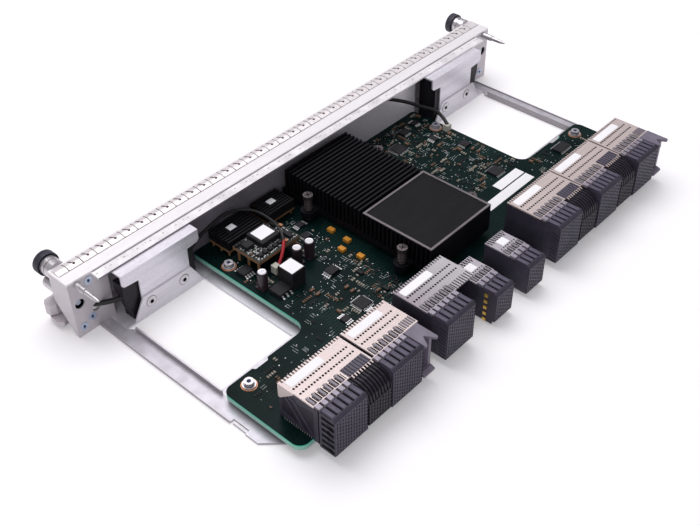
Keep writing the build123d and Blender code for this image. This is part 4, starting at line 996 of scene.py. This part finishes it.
class CARD_OT_board_trim(bpy.types.Operator):
    """Adds the copper rings, screw recesses, can tops, pads and printed lines of the board"""

    bl_idname = "card.board_trim"
    bl_label = "Board rings, tops and pads"

    def execute(self, context):
        ring = press(rod("ring", 0, 0, 4.6, 0, 0.12, 40), "+z", 0.2, 0.02)
        places = [shift(x, y, BOARD_TOP - 0.05) for x, y in BOARD_SCREWS]
        set_out(ring, places, "screw_rings", "copper")
        # The driver recesses are painted dark blue: painted shade
        recess = press(rod("recess", 0, 0, 1.35, -0.1, 0.05, 6), "+z", 0.25, -0.04)
        places = [shift(x, y, BOARD_TOP + 3.0, 0.3) for x, y in BOARD_SCREWS]
        set_out(recess, places, "screw_recesses", "painted_shade_blue")
        # A dark blue ring under each screw head: painted shadow
        groove = press(rod("groove", 0, 0, 2.95, BOARD_TOP + 0.75, BOARD_TOP + 1.0, 32), "+z", 0.1)
        set_out(groove, [shift(x, y, 0) for x, y in BOARD_SCREWS], "screw_head_shadows", "painted_shade_blue")
        top = press(rod("top", 0, 0, 2.55, 19.95, 20.12, 32), "+z", 0.3, -0.06)
        set_out(top, [shift(x, y, 0) for x, y in CANS], "can_tops", "can_top")
        random.seed(77)
        taken = taken_areas()
        pad = press(rod("pad", 0, 0, 0.32, -0.02, 0.05, 8), "+z", 0.1, 0.03)
        places = []
        for x0, x1, y0, y1, share in FIELDS:
            for k in range(int(500 * share)):
                x = random.uniform(x0, x1)
                y = random.uniform(y0, y1)
                if clear_of(x, y, taken, 0.4):
                    size = random.uniform(0.6, 1.3)
                    places.append(shift(x, y, BOARD_TOP, 0.0, (size, size, 1)))
        set_out(pad, places, "test_pads", "solder")
        line = press(block("line", -0.5, 0.5, -0.09, 0.09, -0.02, 0.03), "+z", 0.03)
        places = []
        for x0, x1, y0, y1, share in FIELDS:
            for k in range(int(620 * share)):
                x = random.uniform(x0, x1)
                y = random.uniform(y0, y1)
                if not clear_of(x, y, taken, 1.0):
                    continue
                turn = QUARTER if random.random() < 0.5 else 0.0
                reach = random.choice((0.8, 1.0, 1.4, 2.2, 3.2))
                places.append(shift(x, y, BOARD_TOP, turn, (reach, 1, 1)))
                if reach > 2:
                    aside = (1.6, 0) if turn else (0, 1.6)
                    places.append(shift(x + aside[0], y + aside[1], BOARD_TOP, turn, (reach, 1, 1)))
        set_out(line, places, "printed_lines", "print_white")
        return {"FINISHED"}


class CARD_OT_sink_trim(bpy.types.Operator):
    """Adds the lighter rim of the heatsink's cover plate"""

    bl_idname = "card.sink_trim"
    bl_label = "Heatsink rim"

    def execute(self, context):
        low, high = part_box("heatsink_cover")
        x0, y0, z0 = (c / MM for c in low)
        x1, y1, z1 = (c / MM for c in high)
        rim = block("cover_rim", x0 - 0.05, x1 + 0.05, y0 - 0.05, y1 + 0.05, z1 - 0.5, z1 + 0.05)
        choose(rim, facing("+z"))
        bpy.ops.mesh.inset(thickness=1.5 * MM)
        extrude(0, 0, -0.43)
        done()
        soften(rim, 0.08, 2)
        dress(rim, "sink_rim sink_black")
        middle = Vector(((x0 + x1) / 2 * MM, (y0 + y1) / 2 * MM, 0))
        for face in rim.data.polygons:
            away = face.center - middle
            inner = abs(away.x) < (x1 - x0 - 4) / 2 * MM and abs(away.y) < (y1 - y0 - 4) / 2 * MM
            face.material_index = 1 if inner and face.normal.z > 0.5 else 0
        return {"FINISHED"}


class CARD_OT_converter_trim(bpy.types.Operator):
    """Crowds the converter's top with small parts"""

    bl_idname = "card.converter_trim"
    bl_label = "Converter parts"

    def execute(self, context):
        random.seed(90)
        low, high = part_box("converter_board")
        x0, x1, y0, y1 = low[0] / MM, high[0] / MM, low[1] / MM, high[1] / MM
        taken = [(67.0, 81.5, 40.6, 54.6), (83.6, 89.4, 44.2, 49.6), (62.0, 64.6, 53.6, 60.4)]
        taken += [(60.0, 63.4, 41.0, 45.4), (85.0, 91.6, 40.8, 42.8), (70.0, 88.6, 57.0, 59.6)]
        places = {kind: [] for kind in CONVERTER_KINDS}
        for k in range(4000):
            kind = random.choice(CONVERTER_DRAW)
            length, width, height = CONVERTER_KINDS[kind][0]
            if len(places[kind]) > (90 if kind != "converter_beads" else 7):
                continue
            x = random.uniform(x0 + 1.2, x1 - 1.2)
            y = random.uniform(y0 + 1.2, y1 - 1.2)
            if not clear_of(x, y, taken, length * 0.6):
                continue
            turned = random.random() < 0.5
            places[kind].append(shift(x, y, high[2] / MM - 0.02, QUARTER if turned else 0.0))
            reach = (width, length) if turned else (length, width)
            taken.append(square_round(x, y, reach[0] / 2 + 0.1, reach[1] / 2 + 0.1))
        set_out_chips(CONVERTER_KINDS, places)
        return {"FINISHED"}


# Connector detail
def front_left(number):
    return MODULES[number] + FRONT_SHIFTS[number]


def in_rows(lefts, count, y, z, inset, step, scale, first):
    """Places in a row from each left edge, at even steps"""
    return [shift(x - inset - step * k, y, z, 0, scale) for x in lefts for k in range(first, count)]


def along_modules(count, y, z, inset=0.0, step=RIDGE_STEP, left=MODULES.get, scale=(1, 1, 1), first=0):
    return in_rows([left(n) for n in MODULES], count, y, z, inset, step, scale, first)


def along_small(count, y, z, inset=0.0, step=RIDGE_STEP, scale=(1, 1, 1), first=0):
    return in_rows(SMALL_MODULES.values(), count, y, z, inset, step, scale, first)


def slot_plate(name, columns, rows, width, height):
    """A thin plate with columns of short upright slots, each column half a step from the next, facing +Y"""
    deselect()
    bpy.ops.mesh.primitive_grid_add(
        x_subdivisions=columns * 2, y_subdivisions=rows * 6, size=1, rotation=(-QUARTER, 0, 0)
    )
    bpy.context.active_object.scale = (width * MM, height * MM, 1)
    bpy.context.active_object.location = (-width / 2 * MM, 0, height / 2 * MM)
    plate = settle(name)
    choose(plate, lambda face: True)
    extrude(0, -0.6, 0)
    bpy.ops.mesh.select_all(action="SELECT")
    bpy.ops.mesh.normals_make_consistent(inside=False)
    done()
    cell = width / columns / 2
    step = height / rows / 6

    def is_slot(face):
        column = int(-face.center.x / MM / cell)
        row = int(face.center.z / MM / step)
        edge = row in (0, rows * 6 - 1) or column == 0
        return face.normal.y > 0.9 and not edge and column % 2 == 1 and (row + 3 * (column // 2 % 2)) % 6 < 4

    choose(plate, is_slot)
    extrude(0, -0.42, 0)
    bpy.ops.transform.resize(value=(1, 1, 0.999))
    done()
    # Painted shade: the sunk slot faces take the second finish, which is near-black
    for face in plate.data.polygons:
        across = -face.center.x / MM
        sunk = -0.5 * MM < face.center.y < -0.1 * MM
        inside = 0.05 < across < width - 0.05 and 0.05 < face.center.z / MM < height - 0.05
        face.material_index = 1 if sunk and inside else 0
    return plate


class CARD_OT_contact_fronts(bpy.types.Operator):
    """Faces each connector with its staggered contact slots"""

    bl_idname = "card.contact_fronts"
    bl_label = "Contact fronts"

    def execute(self, context):
        plate = slot_plate("contact_plate", 12, 10, 12 * COLUMN - 0.4, HOUSING_HIGH - HOUSING_LOW - 2.2)
        places = [shift(front_left(n) - 0.2, HOUSING_FRONT + 0.35, HOUSING_LOW + 0.5) for n in MODULES]
        set_out(plate, places, "contact_fronts", "front_frame slot_black")
        plate = slot_plate("small_contact_plate", 8, 7, 8 * COLUMN - 0.3, SMALL_HIGH - SMALL_LOW - 2.2)
        places = [shift(x - 0.2, SMALL_FRONT + 0.35, SMALL_LOW + 0.5) for x in SMALL_MODULES.values()]
        set_out(plate, places, "small_contact_fronts", "front_frame slot_black")
        plate = slot_plate("block_contact_plate", 8, 6, 17.0, 15.0)
        blocks = [MODULES[n] - 25.1 for n in MODULES if MODULE_KINDS[n] == "block"]
        places = [shift(x, HOUSING_FRONT + 0.3, 7.0) for x in blocks]
        set_out(plate, places, "block_contact_fronts", "connector_black slot_black")
        return {"FINISHED"}


def ridge(name, length):
    bar = block(name, -1.35, 1.35, 0, length, -0.5, 0.42)
    choose(bar, lambda edge: all(bar.data.vertices[v].co.z > 0.3 * MM for v in edge.vertices), "EDGE")
    bpy.ops.mesh.bevel(offset=0.4 * MM, segments=3, affect="EDGES")
    done()
    return smooth(bar, 40)


class CARD_OT_ridges(bpy.types.Operator):
    """Adds the long rounded ridges and the grooves on top of each connector housing"""

    bl_idname = "card.ridges"
    bl_label = "Housing ridges"

    def execute(self, context):
        places = along_modules(6, 174.0, HOUSING_HIGH, COLUMN, left=front_left)
        set_out(ridge("ridge", 7.8), places, "housing_ridges", "connector_light")
        places = along_small(4, 175.0, SMALL_HIGH, COLUMN)
        short = ridge("small_ridge", 7.9)
        set_out(short, places, "small_housing_ridges", "connector_light")
        # The grooves are painted near-black: painted shade
        groove = press(block("groove", -0.5, 0.5, 0, 7.3, -0.88, -0.5), "+z", 0.1)
        places = along_modules(6, 174.25, HOUSING_HIGH, left=front_left, first=1)
        places += along_small(4, 175.35, SMALL_HIGH, first=1)
        set_out(groove, places, "housing_grooves", "slot_black")
        return {"FINISHED"}


class CARD_OT_plate_marks(bpy.types.Operator):
    """Adds the pin holes, lined strips, slits and labels of the connector plates"""

    bl_idname = "card.plate_marks"
    bl_label = "Plate holes, strips and labels"

    def execute(self, context):
        # Pin holes and slits are painted near-black: painted shade
        hole = press(rod("hole", 0, 0, sizes().hole / MM, -0.05, 0.05, 10), "+z", 0.12, -0.04)
        places = []
        for number, x_left in MODULES.items():
            count = int((MODULE_WIDTHS[MODULE_KINDS[number]] - 3.0) / COLUMN)
            for y in (154.5, 159.1):
                places += [shift(x_left - 2.2 - COLUMN * k, y, PLATE_TOP) for k in range(count)]
        for y in (156.8, 164.0):
            places += along_small(7, y, SMALL_PLATE_TOP, 2.0, COLUMN, (0.75, 0.75, 1))
        set_out(hole, places, "plate_holes", "slot_black")
        strip = soften(press(block("strip", -0.85, 0.85, 0, 6.0, -0.3, 0.3), "+z", 0.3, 0.2), 0.08, 1)
        places = along_modules(6, 163.2, PLATE_TOP, 1.9)
        for number, x_left in MODULES.items():
            if MODULE_KINDS[number] == "guide":
                row = [x_left - 25.9 - 1.75 * k for k in range(5)]
                places += [shift(x, 163.4, PLATE_TOP, 0, (0.62, 0.9, 1)) for x in row]
        places += along_small(4, 165.2, SMALL_PLATE_TOP, 1.9, scale=(1, 0.8, 1))
        set_out(strip, places, "plate_strips", "strip_metal")
        slit = press(block("slit", -0.24, 0.24, 0, 5.4, -0.1, 0.06), "+z", 0.06)
        places = along_modules(6, 163.6, PLATE_TOP, 3.35)
        places += along_modules(6, 164.6, PLATE_TOP, 4.4, scale=(1, 0.85, 1))
        places += along_small(4, 165.4, SMALL_PLATE_TOP, 3.35, scale=(1, 0.85, 1))
        places += along_small(4, 166.2, SMALL_PLATE_TOP, 4.4, scale=(1, 0.7, 1))
        places += along_small(7, 154.0, SMALL_PLATE_TOP, 1.6, COLUMN, (1, 0.75, 1))
        set_out(slit, places, "plate_slits", "slot_black")
        card = block("label", -24.0, 0, 148.1, 153.2, 0.0, 0.16)

        def upright(edge):
            one, other = (card.data.vertices[v].co.z for v in edge.vertices)
            return abs(one - other) > 0.1 * MM

        choose(card, upright, "EDGE")
        bpy.ops.mesh.bevel(offset=1.1 * MM, segments=4, affect="EDGES")
        done()
        set_out(card, along_modules(1, 0, PLATE_TOP, 2.0), "plate_labels", "label_white")
        return {"FINISHED"}


class CARD_OT_plate_fronts(bpy.types.Operator):
    """Adds the comb strips and the hook lugs at the front of the connector plates"""

    bl_idname = "card.plate_fronts"
    bl_label = "Combs and lugs"

    def execute(self, context):
        base = block("comb_base", 0, 16.4, 163.0, 169.7, -0.2, 0.12)
        rib = press(block("comb_rib", 0, 0.9, 163.2, 169.5, 0.0, 0.55), "+z", 0.15, 0.1)
        ribs = repeat(rib, [shift(0.55 + COLUMN * k, 0, 0) for k in range(8)], "comb_ribs")
        comb = gather([soften(base, 0.1, 2), ribs], "comb")
        tooth = lean(block("tooth", 0, 0.7, 169.6, 171.6, -0.4, 0.1), "+y", (0, 0, -0.4))
        teeth = repeat(tooth, [shift(0.2 + COLUMN * k, 0, 0) for k in range(8)], "comb_teeth")
        combs = [shift(MODULES[n] - 42.2, 0, PLATE_TOP) for n in MODULES if MODULE_KINDS[n] == "block"]
        set_out(comb, combs, "comb_strips", "comb_violet")
        set_out(teeth, combs, "comb_strip_teeth", "connector_tan")
        lug = block("lug", -1.35, 1.35, 0, 3.0, -0.3, 0.3)
        choose(lug, facing("+y"))
        bpy.ops.mesh.inset(thickness=0.1 * MM)
        bpy.ops.transform.resize(value=(0.6, 1, 1))
        extrude(0, 0.7, -0.1)
        done()
        soften(lug, 0.12, 2)
        places = along_modules(6, 169.9, PLATE_TOP + 0.1, COLUMN, left=front_left)
        places += along_small(4, 170.9, SMALL_PLATE_TOP + 0.1, COLUMN)
        set_out(lug, places, "hook_lugs", "lug_metal")
        return {"FINISHED"}


class CARD_OT_side_details(bpy.types.Operator):
    """Adds the slanted ribs and the slots on the first connector's open side, and its row of pins"""

    bl_idname = "card.side_details"
    bl_label = "Open side of the first connector"

    def execute(self, context):
        x = MODULES[1]
        # A near-black bar stands for the groove: painted shade
        groove = block("groove", x - 0.4, x + 0.08, 172.6, 173.3, 6.9, 31.0)
        dress(soften(groove, 0.06, 1), "slot_black")
        panel = block("side_panel", x - 0.3, x + 0.05, 147.6, 169.6, 9.0, 27.6)
        choose(panel, facing("-y"))
        bpy.ops.transform.resize(value=(1, 1, 0.55))
        done()
        dress(soften(panel, 0.1, 1), "connector_black")
        ribs = []
        for y0, y1 in ((148.4, 161.6), (154.8, 167.6)):
            rib = block("rib", x - 0.2, x + 0.3, y0, y0 + 2.0, 25.4, 27.0)
            ribs.append(lean(rib, "-z", (0, y1 - y0, -15.5)))
        dress(gather(ribs, "side_ribs"), "connector_grey")
        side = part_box("connector_fronts_near")[1][0] / MM
        # The side slots are painted near-black: painted shade
        cut = press(block("cut", side - 0.5, side + 0.04, 174.9, 183.2, -1.9, 0.0), "+x", 0.15, -0.03)
        places = [shift(0, 0, HOUSING_HIGH - 2.6 - 4.15 * k) for k in range(6)]
        set_out(cut, places, "side_slots", "slot_black")
        pin = block("pin", -0.16, 0.16, -0.16, 0.16, -0.3, 1.6)
        choose(pin, facing("+z"))
        bpy.ops.transform.resize(value=(0.5, 0.5, 1))
        done()
        places = [shift(x + 0.45, 149.6 + 1.55 * k, BOARD_TOP) for k in range(13)]
        set_out(pin, places, "board_pins", "solder")
        return {"FINISHED"}


# Studio
def any_ray(tree, *kinds):
    """One for the rays of any of these kinds, nought for the others"""
    found = None
    for kind in kinds:
        ray = add_node(tree, "LightPath", "Is " + kind + " Ray", {})
        found = ray if found is None else sum_of(tree, "MAXIMUM", found, ray)
    return found


def lamp(name, place, power, size, colour):
    data = bpy.data.lights.new(name, "AREA")
    data.energy = power
    data.shape = "RECTANGLE"
    data.size, data.size_y = size
    data.color = colour
    light = bpy.data.objects.new(name, data)
    light.location = place
    aim = Vector((0, 0.08, 0)) - Vector(place)
    light.rotation_euler = aim.to_track_quat("-Z", "Y").to_euler()
    bpy.context.scene.collection.objects.link(light)


class CARD_OT_studio(bpy.types.Operator):
    """Sets the floor, the lights, the world and the camera"""

    bl_idname = "card.studio"
    bl_label = "Studio"

    def execute(self, context):
        settings = context.scene.studio_settings
        scene = context.scene
        scene.view_settings.view_transform = "Standard"
        deselect()
        bpy.ops.mesh.primitive_plane_add(size=8, location=(0, 0, -0.0002))
        floor = settle("floor")
        material = bpy.data.materials.new("Studio floor")
        material.use_nodes = True
        tree = material.node_tree
        surface = tree.nodes["Principled BSDF"]
        surface.inputs["Base Color"].default_value = (0.86, 0.845, 0.86, 1)
        surface.inputs["Roughness"].default_value = 0.7
        lift = sum_of(tree, "MULTIPLY", any_ray(tree, "Camera", "Glossy", "Transmission"), 0.2)
        glow = add_node(tree, "Emission", "Emission", {"Color": (1.0, 0.99, 1.0, 1), "Strength": lift})
        both = add_node(tree, "AddShader", "Shader", {0: surface.outputs["BSDF"], 1: glow})
        tree.links.new(both, tree.nodes["Material Output"].inputs["Surface"])
        floor.data.materials.append(material)

        world = bpy.data.worlds.new("Studio world")
        scene.world = world
        world.use_nodes = True
        tree = world.node_tree
        fill = tree.nodes["Background"]
        fill.inputs["Color"].default_value = (0.97, 0.96, 1.0, 1)
        fill.inputs["Strength"].default_value = settings.sky
        shown = add_node(tree, "Background", "Background", {"Color": (1, 1, 1, 1), "Strength": 1.0})
        seen = any_ray(tree, "Camera", "Transmission")
        either = add_node(tree, "MixShader", "Shader", {"Fac": seen, 1: fill.outputs["Background"], 2: shown})
        tree.links.new(either, tree.nodes["World Output"].inputs["Surface"])

        lamp("overhead_light", (-0.15, -0.35, 1.25), settings.key, (1.3, 0.9), (1.0, 0.985, 1.0))
        lamp("side_light", (1.1, 0.9, 0.75), settings.key * 0.28, (0.9, 0.9), (0.98, 0.98, 1.0))

        data = bpy.data.cameras.new("photo_camera")
        data.sensor_width = 36
        data.sensor_fit = "HORIZONTAL"
        data.lens = settings.lens
        data.clip_start = 0.01
        camera = bpy.data.objects.new("photo_camera", data)
        scene.collection.objects.link(camera)
        roll = math.radians(-0.692)
        right = Vector((-0.6760, 0.7369, 0.0))
        up = Vector((-0.4838, -0.4439, 0.7543))
        back = Vector((0.5558, 0.5099, 0.6566)).normalized()
        side = (math.cos(roll) * right + math.sin(roll) * up).normalized()
        top = back.cross(side).normalized()
        turn = Matrix((side, top, back)).transposed().to_4x4()
        camera.matrix_world = Matrix.Translation((0.38240, 0.39998, 0.40246)) @ turn
        scene.camera = camera
        return {"FINISHED"}


STEPS = (
    CARD_OT_studio,
    CARD_OT_finish_nodes,
    CARD_OT_wires,
    CARD_OT_gasket_marks,
    CARD_OT_panel_marks,
    CARD_OT_rivet_marks,
    CARD_OT_thumb_caps,
    CARD_OT_springs,
    CARD_OT_small_parts,
    CARD_OT_package_leads,
    CARD_OT_board_trim,
    CARD_OT_sink_trim,
    CARD_OT_converter_trim,
    CARD_OT_contact_fronts,
    CARD_OT_ridges,
    CARD_OT_plate_marks,
    CARD_OT_plate_fronts,
    CARD_OT_side_details,
)


class CARD_PT_steps(bpy.types.Panel):
    """Lists the steps that dress the card"""

    bl_idname = "CARD_PT_steps"
    bl_label = "Switch Card"
    bl_space_type = "VIEW_3D"
    bl_region_type = "UI"
    bl_category = "Switch Card"

    def draw(self, context):
        for group in ("card_colours", "card_sizes", "studio_settings"):
            box = self.layout.box()
            settings = getattr(context.scene, group)
            for name in settings.__annotations__:
                box.prop(settings, name)
        for step in STEPS:
            self.layout.operator(step.bl_idname)


GROUPS = (CardColours, CardSizes, StudioSettings)


def register():
    for one in GROUPS + STEPS + (CARD_PT_steps,):
        bpy.utils.register_class(one)
    bpy.types.Scene.card_colours = PointerProperty(type=CardColours)
    bpy.types.Scene.card_sizes = PointerProperty(type=CardSizes)
    bpy.types.Scene.studio_settings = PointerProperty(type=StudioSettings)


def unregister():
    del bpy.types.Scene.studio_settings
    del bpy.types.Scene.card_sizes
    del bpy.types.Scene.card_colours
    for one in reversed(GROUPS + STEPS + (CARD_PT_steps,)):
        bpy.utils.unregister_class(one)


def main():
    register()
    for step in STEPS:
        group, name = step.bl_idname.split(".")
        getattr(getattr(bpy.ops, group), name)()


if __name__ == "__main__":
    main()
